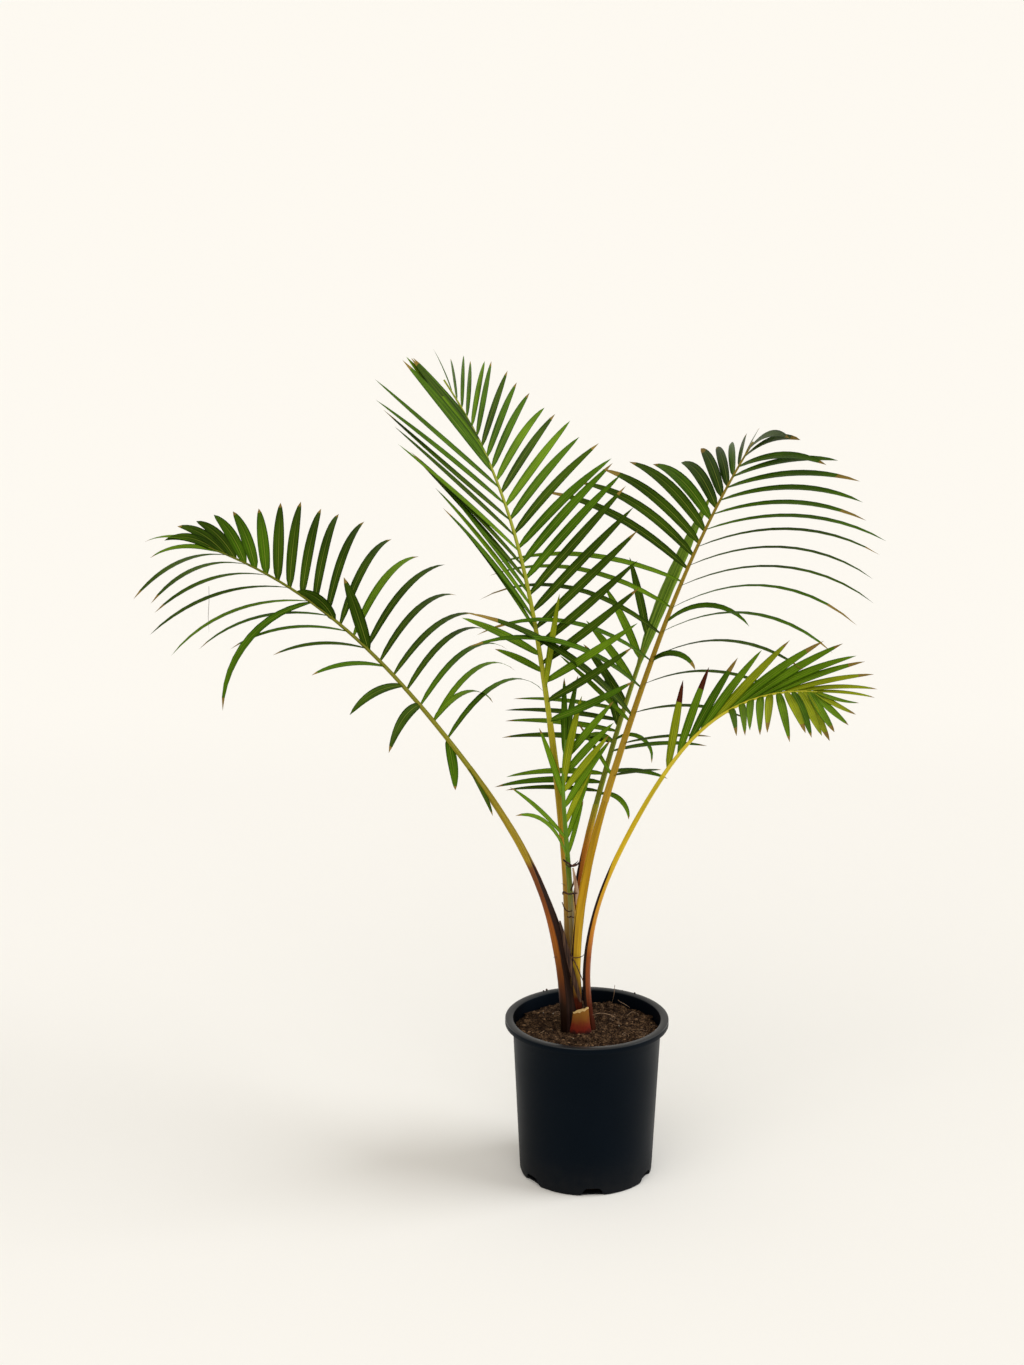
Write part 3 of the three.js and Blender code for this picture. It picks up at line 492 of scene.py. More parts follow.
# Fronds: each leaf is one stalk that leaves the soil in a clasping sheath, runs on
# as a bare petiole and then as the rachis, with a row of leaflets down each side.
FRONDS = {
    # Sizes are in millimetres and angles in degrees, at even stops from foot to tip or
    # from start to end of a row. start, end, at and petiole are shares of the length,
    # bough and rachis half widths, and level turns a blade's face up to the sky.
    "a": dict(
        seat=(-26, -10), azimuth=(141, 174, 162), lean=(2, 31, 44, 74), length=966, roll=(27, 16, 14),
        petiole=0.455, bough=(15, 7.5, 5), rachis=(4.6, 1.5),
        rows=[
            dict(side=1, start=0.515, end=0.985, count=20, crowd=0.4, width=(10, 10.5, 13, 17, 15),
                 level=(0.8, 0.5, 0.2, 0, 0), fan=(79, 82, 63, 55, 12), rise=(19, 14, 33, 55, 34),
                 droop=(64, 40, 50, 37, 48), reach=(320, 310, 212, 110, 100)),
            dict(side=-1, start=0.584, end=0.965, count=11, crowd=0.05, width=(15, 13, 13, 13, 12),
                 level=(0.1, 0.7, 0.9, 0.9, 0.8), fan=(77, 45, 36, 63, 79), rise=(6, -5, -21, 18, 23),
                 droop=(50, 31, 56, 39, 45), reach=(135, 150, 215, 265, 250)),
        ],
        strays=[
            dict(side=1, at=0.55, width=13, level=0.9, fan=80, rise=30, droop=85, reach=165),
            dict(side=1, at=0.77, width=17, level=0, fan=25, rise=75, droop=60, reach=75),
            dict(side=1, at=0.7, width=18, level=0, fan=30, rise=65, droop=5, reach=115),
            dict(side=-1, at=0.815, width=12, level=0.3, fan=62, rise=-10, droop=85, reach=240),
            dict(side=-1, at=0.515, width=15, level=0, fan=155, rise=-50, droop=20, reach=80),
            dict(side=-1, at=0.462, width=15, level=0.2, fan=168, rise=0, droop=10, reach=85),
            dict(side=1, at=0.985, width=13, level=0, fan=10, rise=0, droop=45, reach=140),
            dict(side=-1, at=0.98, width=11, level=0, fan=8, rise=-10, droop=50, reach=115),
        ],
    ),
    "b": dict(
        seat=(-18, 13), azimuth=(117, 130, 161), lean=(4, 11, 16, 36), length=1016, roll=(17, 19, 5),
        petiole=0.46, bough=(13, 7, 4.8), rachis=(4.4, 1.4),
        rows=[
            dict(side=1, start=0.466, end=0.979, count=25, crowd=0.38, width=(13, 13.5, 13, 12, 9),
                 level=(0.3, 0.2, 0.1, 0, 0), fan=(75, 54, 57, 54, 66), rise=(55, 27, 9, -4, -24),
                 droop=(-9, 3, 13, 16, 8), reach=(165, 215, 205, 200, 240)),
            dict(side=-1, start=0.6, end=0.82, count=11, crowd=-0.2, width=(9, 10, 10, 12),
                 level=(0.3, 0.3, 0.3, 0.2), fan=(26, 34, 43, 46), rise=(10, 10, 8, 8),
                 droop=(8, 5, 3, 3), reach=(225, 245, 280, 285)),
            dict(side=-1, start=0.845, end=0.925, count=5, crowd=0, width=(20, 20, 14), level=(0,),
                 fan=(22, 22, 22), rise=(0,), droop=(2,), reach=(225, 175, 120)),
        ],
        strays=[
            dict(side=-1, at=0.565, width=13, level=0.2, fan=54, rise=10, droop=12, reach=148,
                 tone="light"),
            dict(side=-1, at=0.54, width=11, level=0.2, fan=54, rise=10, droop=12, reach=90,
                 tone="light"),
            dict(side=1, at=0.515, width=12, level=0, fan=21, rise=60, droop=0, reach=150, tone="yellow"),
        ],
    ),
    "c": dict(
        seat=(-11, -3), azimuth=(44, 48, 44), lean=(-11, 23, 32, 45), length=977, roll=(-28, -15, 14),
        petiole=0.37, bough=(9, 7.2, 5.2), rachis=(5.6, 1.5),
        rows=[
            dict(side=-1, start=0.51, end=0.737, count=6, crowd=0, width=(15, 14, 13, 13),
                 level=(0.5, 0.7, 0.7, 0.6), fan=(67, 76, 73, 91), rise=(50, 55, 26, 44),
                 droop=(41, 65, 59, 39), reach=(320, 290, 320, 285)),
            dict(side=-1, start=0.76, end=0.973, count=11, crowd=0.1, width=(15, 18, 18, 12),
                 level=(0.4, 0.2, 0, 0), fan=(67, 54, 45, 48), rise=(27, 14, -7, -30),
                 droop=(36, 34, 31, 6), reach=(290, 225, 175, 200)),
            dict(side=1, start=0.412, end=0.981, count=18, crowd=0.6, width=(12, 14, 15, 16, 14),
                 level=(0.8, 0.9, 0.9, 0.4, 0), fan=(70, 67, 60, 77, 92), rise=(16, 27, -2, 7, 29),
                 droop=(2, 54, 51, 27, 25), reach=(90, 320, 305, 265, 235)),
        ],
        strays=[
            dict(side=1, at=0.665, width=13, level=0.4, fan=45, rise=20, droop=95, reach=150),
            dict(side=1, at=0.6, width=13, level=0.4, fan=45, rise=20, droop=110, reach=85),
            dict(side=-1, at=0.5, width=8, level=0.2, fan=63, rise=20, droop=8, reach=150, tone="light"),
            dict(side=-1, at=0.41, width=6, level=0.2, fan=47, rise=20, droop=5, reach=98, tone="light"),
        ],
    ),
    "d": dict(
        seat=(7, -3), azimuth=(0, -13, -28), lean=(-12, 20, 37, 89), length=723, roll=(2, 0, -14),
        petiole=0.6, bough=(11, 6.5, 4.6), rachis=(4.2, 1.5),
        rows=[
            dict(side=-1, start=0.619, end=0.986, count=12, crowd=0.15, width=(13, 12.5, 13, 11, 9),
                 level=(0, 0, 0, 0.1, 0.1), fan=(26, 14, 10, 12, 8), rise=(75, 70, 60, 40, 5),
                 droop=(0, 5, 10, 12, 18), reach=(135, 150, 180, 150, 95)),
            dict(side=1, start=0.808, end=0.998, count=14, crowd=0.8, width=(10, 12, 12, 12, 10),
                 level=(0.1, 0.1, 0.1, 0.1, 0.1), fan=(67, 70, 62, 55, 28), rise=(10, 12, 3, -2, -2),
                 droop=(21, 27, 14, -3, -17), reach=(170, 175, 160, 145, 90)),
        ],
    ),
    "e": dict(
        seat=(-24, 34), azimuth=(52, 63, 60), lean=(-9, 30, 46, 55), length=948, roll=(3, 7, 7),
        petiole=0.36, bough=(9, 6, 5), rachis=(4.6, 2.2),
        rows=[
            dict(side=-1, start=0.385, end=0.415, count=3, crowd=0, width=(9, 13, 12), level=(0.4,),
                 fan=(94, 95, 93), rise=(11,), droop=(14,), reach=(165, 180, 168)),
            dict(side=-1, start=0.472, end=0.53, count=4, crowd=0, width=(13, 13, 12, 10), level=(0.5,),
                 fan=(90, 89, 89, 88), rise=(12,), droop=(13,), reach=(190, 195, 198, 198)),
            dict(side=-1, start=0.5, end=0.67, count=5, crowd=0, width=(13,), level=(0,),
                 fan=(27, 45, 48, 36, 28), rise=(20,), droop=(8,), reach=(105, 130, 140, 155, 165)),
            dict(side=1, start=0.38, end=0.455, count=3, crowd=0, width=(10, 12, 12), level=(0.6,),
                 fan=(78, 82, 78), rise=(10,), droop=(110, 25, 16), reach=(75, 114, 172)),
        ],
        strays=[
            dict(side=-1, at=0.47, width=11, level=0.4, fan=62, rise=30, droop=110, reach=68),
            dict(side=1, at=0.475, width=8, level=0.2, fan=60, rise=20, droop=150, reach=95),
        ],
    ),
    "f": dict(
        seat=(-9, 6), azimuth=(200, 140, 70), lean=(9, 3, 10, 30), length=451, roll=(0, 0, 0),
        petiole=0.57, bough=(6, 5.2, 4.4), rachis=(4.2, 1.8),
        rows=[
            dict(side=1, start=0.61, end=0.93, count=7, crowd=0, width=(8, 10, 11, 12), level=(0,),
                 fan=(22, 25, 34, 38, 36), rise=(8,), droop=(6,), reach=(85, 120, 125, 110, 120)),
            dict(side=1, start=0.84, end=0.97, count=2, crowd=0, width=(13,), level=(0,), fan=(9, 3),
                 rise=(30,), droop=(8,), reach=(145, 115)),
            dict(side=-1, start=0.585, end=0.665, count=2, crowd=0, width=(10,), level=(0.3,),
                 fan=(24, 45), rise=(25,), droop=(62, 15), reach=(168, 165)),
            dict(side=-1, start=0.8, end=0.95, count=2, crowd=0, width=(10,), level=(0,), fan=(14, 6),
                 rise=(10,), droop=(8,), reach=(115, 120)),
        ],
    ),
}
LINE_STEPS = 48
STALK_ROUND = 28
STALK_STEPS = 90
# Share of a frond's length by which its stalk runs on into its rachis
INTO_RACHIS = 0.002
# Share of a stalk's length over which its dark strip, partly dried sheath edge and partly painted shade,
# narrows to nothing
STRIP_CLOSING = 0.26


def along(stops, share):
    """Value at a share of the way through evenly spaced stops."""
    if len(stops) == 1:
        return stops[0]
    spans = len(stops) - 1
    x = min(max(share, 0), 1) * spans
    i = min(int(x), spans - 1)
    t = x - i
    b, c = stops[i], stops[i + 1]
    a = stops[i - 1] if i > 0 else 2 * b - c
    d = stops[i + 2] if i + 2 <= spans else 2 * c - b
    bend = (2 * a - 5 * b + 4 * c - d) * t * t + (3 * b - a - 3 * c + d) * t ** 3
    return 0.5 * (2 * b + (c - a) * t + bend)


def heading(azimuth, lean):
    a, l = math.radians(azimuth), math.radians(lean)
    return Vector((math.sin(l) * math.cos(a), math.sin(l) * math.sin(a), math.cos(l)))


def centre_line(frond):
    """Centre line of a frond, from its seat in the soil to its tip."""
    points = [Vector((frond["seat"][0] * MM, frond["seat"][1] * MM, SOIL_TOP))]
    step = frond["length"] * MM / LINE_STEPS
    for i in range(LINE_STEPS):
        share = (i + 0.5) / LINE_STEPS
        ahead = heading(along(frond["azimuth"], share), along(frond["lean"], share))
        points.append(points[-1] + ahead * step)
    return points


def stance(frond, points, share):
    """Point, tangent, side and face normal of a frond at a share of its length."""
    x = min(max(share, 0), 1) * LINE_STEPS
    i = min(int(x), LINE_STEPS - 1)
    point = points[i].lerp(points[i + 1], x - i)
    azimuth = along(frond["azimuth"], share)
    tangent = heading(azimuth, along(frond["lean"], share))
    a, roll = math.radians(azimuth), math.radians(along(frond["roll"], share))
    flat = Vector((math.sin(a), -math.cos(a), 0))
    top = flat.cross(tangent)
    side = flat * math.cos(roll) + top * math.sin(roll)
    face = top * math.cos(roll) - flat * math.sin(roll)
    return point, tangent, side, face


def stalk_finish(name, stops, strip, strip_width, strip_top, fibre):
    """Waxy stalk: its colour runs up the length and is darkest at the foot, partly the sheath's
    own dark base and partly painted shade down among the crowded stalks. Fine darker fibres
    and blotches run over it, and a dark strip runs up it, partly the dried thin edge of the
    sheath and partly painted shade where the stalk presses on its neighbour."""
    skin = Finish(name, Roughness=0.38, Specular_IOR_Level=0.18, Specular_Tint=(1.0, 0.85, 0.6, 1))
    uv = skin.uv_place()
    around = skin.axis(uv, 0)
    up = skin.axis(uv, 1)
    fibres = skin.grain(1, 4, uv, (40, 4, 1))
    blotch = skin.grain(1, 5, uv, (6, 14, 1))
    base = skin.ramp(up + 0.04 * (blotch - 0.5), stops)
    streaked = skin.blend(skin.smooth(fibres, 0.42, 0.62) * 0.6, base, fibre, "MULTIPLY")
    # The dark strip is partly the dried thin edge of the sheath and partly painted shade where the stalk
    # presses on its neighbour. It narrows up the stalk and ends at strip_top.
    closing = skin.smooth(up, strip_top - STRIP_CLOSING, strip_top) * strip_width
    edge = abs(around - strip) + 0.05 * (blotch - 0.5) + closing
    dry = skin.smooth(edge, strip_width, strip_width * 0.8)
    withered_and_shade_colour = skin.ramp(fibres, [(0.35, (0.004, 0.0015, 0.0015)), (0.65, (0.028, 0.011, 0.009))])
    skin.set("Base Color", skin.blend(dry, streaked, withered_and_shade_colour))
    skin.set("Roughness", 0.28 + 0.25 * blotch + 0.2 * dry)
    skin.relief(fibres + blotch * 0.4, 0.0005, 0.45)
    return skin


# Each stalk's colour stops run from its foot at the soil up its petiole. The darkest stops at the foot are
# partly the sheath's own dark red-brown and partly painted shade down among the crowded stalks.
STALKS = {
    "a": stalk_finish("stalk_olive_gold", [
        (0.0, (0.006, 0.002, 0.001)), (0.10, (0.014, 0.004, 0.002)), (0.15, (0.065, 0.015, 0.004)),
        (0.22, (0.16, 0.042, 0.005)), (0.30, (0.28, 0.088, 0.008)), (0.40, (0.30, 0.084, 0.012)),
        (0.50, (0.18, 0.050, 0.014)), (0.595, (0.20, 0.068, 0.017)), (0.625, (0.40, 0.27, 0.018)),
        (1.0, (0.24, 0.22, 0.010))], 0.22, 0.13, 0.71, (0.45, 0.30, 0.22)),
    "b": stalk_finish("stalk_yellow_green", [
        (0.0, (0.05, 0.012, 0.004)), (0.20, (0.16, 0.075, 0.020)), (0.32, (0.28, 0.17, 0.045)),
        (0.50, (0.42, 0.24, 0.030)), (0.66, (0.40, 0.24, 0.016)), (0.85, (0.34, 0.26, 0.012)),
        (1.0, (0.36, 0.32, 0.014))], 0.98, 0.10, 0.2, (0.5, 0.42, 0.25)),
    "c": stalk_finish("stalk_orange_gold", [
        (0.0, (0.05, 0.008, 0.004)), (0.145, (0.065, 0.009, 0.004)), (0.185, (0.22, 0.11, 0.014)),
        (0.24, (0.34, 0.20, 0.022)), (0.30, (0.54, 0.34, 0.020)), (0.60, (0.47, 0.26, 0.007)),
        (1.0, (0.38, 0.22, 0.006))], 0.36, 0.045, 0.62, (0.52, 0.42, 0.2)),
    "d": stalk_finish("stalk_bright_yellow", [
        (0.0, (0.035, 0.007, 0.003)), (0.09, (0.09, 0.014, 0.005)), (0.17, (0.22, 0.055, 0.016)),
        (0.27, (0.26, 0.060, 0.009)), (0.35, (0.48, 0.17, 0.018)), (0.45, (0.60, 0.28, 0.022)),
        (0.66, (0.66, 0.45, 0.014)), (1.0, (0.56, 0.46, 0.018))], 0.25, 0.38, 0.76, (0.55, 0.42, 0.25)),
    "e": stalk_finish("stalk_red_brown", [
        (0.0, (0.05, 0.010, 0.003)), (0.45, (0.20, 0.045, 0.006)), (0.66, (0.34, 0.090, 0.010)),
        (0.80, (0.48, 0.18, 0.014)), (0.90, (0.46, 0.28, 0.018)), (1.0, (0.34, 0.34, 0.022))],
        0.34, 0.12, 0.86, (0.35, 0.22, 0.15)),
    "f": stalk_finish("stalk_bright_green", [
        (0.0, (0.08, 0.040, 0.012)), (0.55, (0.16, 0.105, 0.035)), (0.72, (0.22, 0.17, 0.065)),
        (0.86, (0.17, 0.21, 0.028)), (1.0, (0.075, 0.15, 0.006))], 0.3, 0.03, 0.2, (0.5, 0.5, 0.4)),
}


def close_tube(crease):
    """Merges the seam of a grid that was rolled up, closes its ends and smooths it."""
    bpy.ops.object.mode_set(mode="EDIT")
    bpy.ops.mesh.select_all(action="SELECT")
    bpy.ops.mesh.remove_doubles(threshold=0.00001)
    bpy.ops.mesh.select_all(action="DESELECT")
    bpy.ops.mesh.select_mode(type="EDGE")
    bpy.ops.mesh.select_non_manifold()
    bpy.ops.mesh.edge_face_add()
    bpy.ops.mesh.select_all(action="SELECT")
    bpy.ops.mesh.normals_make_consistent(inside=False)
    bpy.ops.object.mode_set(mode="OBJECT")
    bpy.ops.object.shade_smooth_by_angle(angle=math.radians(crease))


def rolled_grid(frond, line, start, end, width_at, depth_at, channel, rough):
    """A flat grid rolled into a closed tube along a stretch of a frond."""
    clear_selection()
    bpy.ops.mesh.primitive_grid_add(x_subdivisions=STALK_ROUND, y_subdivisions=STALK_STEPS, size=1)
    made = bpy.context.object
    for vertex in made.data.vertices:
        around = vertex.co.x + 0.5
        up = vertex.co.y + 0.5
        point, tangent, side, face = stance(frond, line, start + (end - start) * up)
        angle = math.tau * around
        across, out = math.cos(angle), math.sin(angle)
        groove = channel * max(0.0, out) ** 2 * (1 - 0.8 * across * across)
        ripple = 1 + rough * noise.noise(Vector((across * 3, out * 3, up * 14)))
        w = width_at(up) * MM * ripple
        d = depth_at(up) * MM * ripple
        vertex.co = point + side * across * w + face * (out * (1 - groove)) * d
    close_tube(60)
    return made


lines = {key: centre_line(frond) for key, frond in FRONDS.items()}
for key, frond in FRONDS.items():
    foot, middle, end = frond["bough"]
    widths = (foot, foot * 0.85, middle, (middle + end) / 2, end)
    depths = (foot * 0.66, foot * 0.6, middle * 0.75, (middle + end) * 0.4, end * 0.85)
    stalk = rolled_grid(
        frond, lines[key], 0, frond["petiole"] + INTO_RACHIS,
        lambda up: along(widths, up), lambda up: along(depths, up), 0.35, 0.05)
    for vertex in stalk.data.vertices:
        vertex.co.z = max(vertex.co.z, SOIL_TOP)
    settle(stalk, "stalk_" + key, [STALKS[key]], "petiole_" + key)

# Cut leaf base: the stump of an old leaf in front of the crown, red-brown below
# and golden above, with a pale, slanting, torn top. Its sizes are in millimetres.
STUB_SEAT = (-10, -24)
STUB_HEIGHT = 38
STUB_WIDTH = 31
STUB_DEPTH = 8
stub_skin = Finish("cut_leaf_base", Roughness=0.5, Specular_IOR_Level=0.3)
stub_uv = stub_skin.uv_place()
stub_up = stub_skin.axis(stub_uv, 1)
stub_fibre = stub_skin.grain(1, 5, stub_uv, (60, 4, 1))
stub_blotch = stub_skin.grain(140, 4)
stub_body = stub_skin.ramp(stub_up + 0.25 * (stub_fibre - 0.5) + 0.35 * (stub_blotch - 0.5), [
    (0.0, (0.020, 0.004, 0.002)), (0.22, (0.16, 0.012, 0.004)), (0.42, (0.18, 0.026, 0.006)),
    (0.64, (0.22, 0.068, 0.008)), (0.86, (0.25, 0.098, 0.010))])
stub_rim = stub_skin.smooth(stub_up + 0.03 * (stub_fibre - 0.5), 0.955, 0.975)
stub_skin.set("Base Color", stub_skin.blend(stub_rim, stub_body, (0.66, 0.45, 0.18)))
stub_skin.relief(stub_fibre, 0.0008, 0.7)
clear_selection()
bpy.ops.mesh.primitive_grid_add(x_subdivisions=48, y_subdivisions=24, size=1)
stub = bpy.context.object
for vertex in stub.data.vertices:
    around, up = vertex.co.x + 0.5, vertex.co.y + 0.5
    angle = math.tau * around
    x = math.sin(angle) * STUB_WIDTH / 2 * (1 - 0.24 * up + 0.12 * (1 - up) ** 3)
    torn = (0.9 * math.sin(x * 0.8) + x * 0.34 + 0.8 * (chance(around * 97) - 0.5)) * up ** 3
    y = STUB_SEAT[1] - math.cos(angle) * STUB_DEPTH / 2 + x * x / 60
    vertex.co = Vector((STUB_SEAT[0] + x, y, SOIL_TOP / MM + up * STUB_HEIGHT + torn)) * MM
close_tube(50)
settle(stub, "cut_leaf_base", [stub_skin], "stub")

# Withered sheath: the papery brown margin of the left stalk crosses the golden one,
# with a torn, light brown membrane above it. Strings of old fibre with short barbs
# cling round the inner stalks, and one loose fibre hangs from the left frond.
dry_fibre = Finish("dry_sheath_fibre", Roughness=0.7, Specular_IOR_Level=0.1)
dry_fibre.set("Base Color", dry_fibre.ramp(dry_fibre.grain(300, 2), [
    (0.35, (0.012, 0.005, 0.004)), (0.7, (0.10, 0.045, 0.028))]))
dry_margin = Finish("dry_sheath_margin", Roughness=0.6, Specular_IOR_Level=0.2)
dry_margin.set("Base Color", dry_margin.ramp(dry_margin.grain(70, 3, stretch=(5, 5, 0.2)), [
    (0.36, (0.012, 0.005, 0.003)), (0.52, (0.046, 0.020, 0.011)), (0.68, (0.12, 0.062, 0.030))]))
membrane = Finish("sheath_membrane", Roughness=0.55, Specular_IOR_Level=0.2)
membrane.set("Base Color", membrane.ramp(membrane.grain(90, 3, stretch=(4, 4, 0.3)), [
    (0.35, (0.24, 0.130, 0.075)), (0.65, (0.46, 0.32, 0.21))]))
MARGIN_LINE = ((-42.5, 412), (-36.5, 387), (-30.5, 359), (-24, 332), (-17, 305), (-10.5, 281))
MARGIN_FRONT = -17.5
MARGIN_WIDTHS = (1.2, 3.0, 3.8, 4.0, 3.6, 2.0)
MARGIN_THICK = 0.7
MEMBRANE_LINE = ((-22.7, 489.6), (-19.5, 470.5), (-16.6, 449.8), (-17.0, 430.7))
MEMBRANE_WIDTHS = (1.2, 2.6, 3.2, 1.6)
MEMBRANE_FRONT = 0
TIES = (
    # in millimetres: x and z along each string from left to right, its foremost y, half thickness
    (((-36.9, 500.5), (-30.3, 498.2), (-24.3, 494.1), (-16.8, 496.0), (-10.5, 500.5)), -3, 1.9),
    (((-34.0, 494.5), (-27.0, 492.5), (-21.5, 496.5), (-15.0, 499.5)), -3.5, 1.1),
    (((-37.8, 446.5), (-36.8, 452.9), (-30.0, 449.8), (-21.0, 450.5), (-12.8, 449.4)), -4, 1.4),
    (((-38.5, 433.5), (-34.5, 426.0), (-30.0, 422.6), (-23.0, 420.9)), -5, 1.0),
    (((-30.5, 410.8), (-25.3, 414.5), (-20.0, 410.8)), -6, 1.1),
    (((-27.5, 355.5), (-20, 352.6), (-12, 353.4), (-4.5, 355.6)), -17.5, 0.8),
)
TIE_STEPS = 16
TIE_WRAP = 9
BARBS = (
    # the two ends of each
    ((-34, 14, 457), (-39.5, 12, 461)), ((-33, 12, 446), (-37.5, 10, 443)),
    ((-46.5, -10, 351), (-52, -12, 351)),
    ((0.5, -8, 347), (5.6, -10, 351)), ((-42, -14, 400), (-44.5, -15, 404)),
)
BARB_THICK = 0.8
LOOSE_FIBRES = (
    # half thickness and the points along each
    (1.3, ((-25.5, 4, 452), (-22.5, 3, 462), (-20, 2, 473), (-19.5, 1, 482))),
    (0.95, (
        (-32.5, -14, 376), (-25.3, -17.5, 357), (-16.1, -18, 338), (-6.8, -17, 315), (-5.2, -14, 297))),
    (0.35, ((-566, 70, 908), (-566.5, 70, 885), (-568.5, 70, 862), (-568, 70, 838))),
)


def ribbon(points, widths, front, thick):
    """A thin closed strip that faces the viewer, along points given in x and z."""
    vertices, faces = [], []
    last = len(points) - 1
    steps = 6 * last
    for i in range(steps + 1):
        x, z = (along([point[axis] for point in points], i / steps) for axis in (0, 1))
        half = along(widths, i / steps)
        for side, depth in ((-1, 0), (0, -1.4), (1, 0), (1, 1), (0, 0.2), (-1, 1)):
            vertices.append(Vector((x + side * half, front + depth * thick, z)) * MM)
        if i:
            low, high = 6 * (i - 1), 6 * i
            faces += [(low + k, low + (k + 1) % 6, high + (k + 1) % 6, high + k) for k in range(6)]
    faces += [tuple(range(5, -1, -1)), tuple(6 * steps + k for k in range(6))]
    return vertices, faces


for name, line, widths, front, finish in (
        ("sheath_margin", MARGIN_LINE, MARGIN_WIDTHS, MARGIN_FRONT, dry_margin),
        ("sheath_membrane", MEMBRANE_LINE, MEMBRANE_WIDTHS, MEMBRANE_FRONT, membrane)):
    settle(joined_mesh(*ribbon(line, widths, front, MARGIN_THICK)), name, [finish])

strings = []
for places, front, half in TIES:
    run = []
    for k in range(TIE_STEPS + 1):
        share = k / TIE_STEPS
        x, z = (along([place[axis] for place in places], share) for axis in (0, 1))
        run.append(Vector((x, front + TIE_WRAP * (2 * share - 1) ** 4, z)) * MM)
    strings.append((run, half * MM))
for half, places in [(BARB_THICK, barb) for barb in BARBS] + list(LOOSE_FIBRES):
    strings.append(([Vector(place) * MM for place in places], half * MM))
threads("sheath_strings", strings, dry_fibre)

# Leaflets: long lance-shaped blades folded along a pale midrib, dark green on the old
# fronds and yellow-green on the young ones. On frond d the yellow-green is partly the
# blades' own pale colour and partly painted glow of light shining through them. All blades
# of a frond are one mesh, seated on the waxy rachis between them.
BLADE_STEPS = 12
BLADE_ACROSS = 4
LEAFLET_ROOT_WIDTH = 0.3
BELLY_PLACE = 0.85
BELLY_FULLNESS = 0.65
DROOP_POWER = 1.3
STEEPEST = 1.54
BLADE_FOLD = 0.16
BLADE_CROWN = 0.10
SWAY_SPREAD = 0.05
FAN_SPREAD = 3
RISE_SPREAD = 4
DROOP_SPREAD = 8
REACH_SPREAD = 0.06


def leaf_finish(name, deep, pale, rough=0.40):
    """Blade with parallel veins, dark edges and a pale midrib, on its own UV map."""
    skin = Finish(name, Roughness=rough, Specular_IOR_Level=0.07, Specular_Tint=(1.0, 1.0, 0.3, 1))
    uv = skin.uv_place()
    across = skin.axis(uv, 0)
    out = skin.axis(uv, 1)
    veins = skin.grain(1, 2, uv, (26, 1.2, 1))
    cloud = skin.grain(11, 4)
    flank = abs(across - 0.5)
    edge = skin.smooth(flank, 0.30, 0.5)
    rib = skin.smooth(flank, 0.05, 0.0)
    light = skin.smooth(veins, 0.36, 0.66) * 0.75 + skin.smooth(cloud, 0.35, 0.7) * 0.4 - edge * 0.45
    blade = skin.blend(light, deep, pale)
    midrib = tuple(0.45 * p + 0.55 * q for p, q in zip(pale, (0.40, 0.44, 0.06)))
    skin.set("Base Color", skin.blend(rib * (1 - out) * 0.8, blade, midrib))
    skin.set("Roughness", rough - 0.06 + 0.16 * cloud)
    skin.relief(veins + rib, 0.0004, 0.5)
    return skin


LEAVES = {
    "dark": leaf_finish("leaf_dark_green", (0.007, 0.023, 0.001), (0.054, 0.108, 0.004)),
    "mid": leaf_finish("leaf_mid_green", (0.013, 0.044, 0.001), (0.085, 0.185, 0.006)),
    "light": leaf_finish("leaf_light_green", (0.030, 0.080, 0.001), (0.160, 0.290, 0.010)),
    "yellow": leaf_finish("leaf_yellow_green", (0.095, 0.135, 0.002), (0.36, 0.40, 0.015)),
    "dry": leaf_finish("leaf_dry_tip", (0.13, 0.08, 0.012), (0.32, 0.22, 0.05), 0.6),
    "wine": leaf_finish("leaf_wine_tip", (0.030, 0.004, 0.003), (0.10, 0.014, 0.008), 0.5),
}
GREENS = ["dark", "mid", "light", "yellow"]
# Shares of the four greens, dealt at random among each frond's leaflets. Frond d's light and yellow-green
# are partly its own pale colour and partly painted glow of light shining through its thin leaflets.
GREEN_SHARES = {
    "a": (0.65, 0.27, 0.08, 0.0), "b": (0.35, 0.55, 0.10, 0.0), "c": (0.60, 0.33, 0.07, 0.0),
    "d": (0.0, 0.14, 0.41, 0.45), "e": (0.15, 0.40, 0.38, 0.07), "f": (0.0, 0.20, 0.60, 0.20),
}
# Share of a leaflet's length that has dried at its tip, at most
DRY_TIPS = {"a": 0.12, "b": 0.10, "c": 0.20, "d": 0.20, "e": 0.10, "f": 0.12}
# Leaflets with a wine-red tip, by number, and the share of their length that it takes
WINE_TIPPED = {"d": (0, 1)}
WINE_TIP = 0.26


def leaflet_width(t):
    """Share of full width along a leaflet: narrow root, fine tip."""
    belly = max(0.0, math.sin(math.pi * t ** BELLY_PLACE)) ** BELLY_FULLNESS
    return belly + LEAFLET_ROOT_WIDTH * (1 - t) ** 4


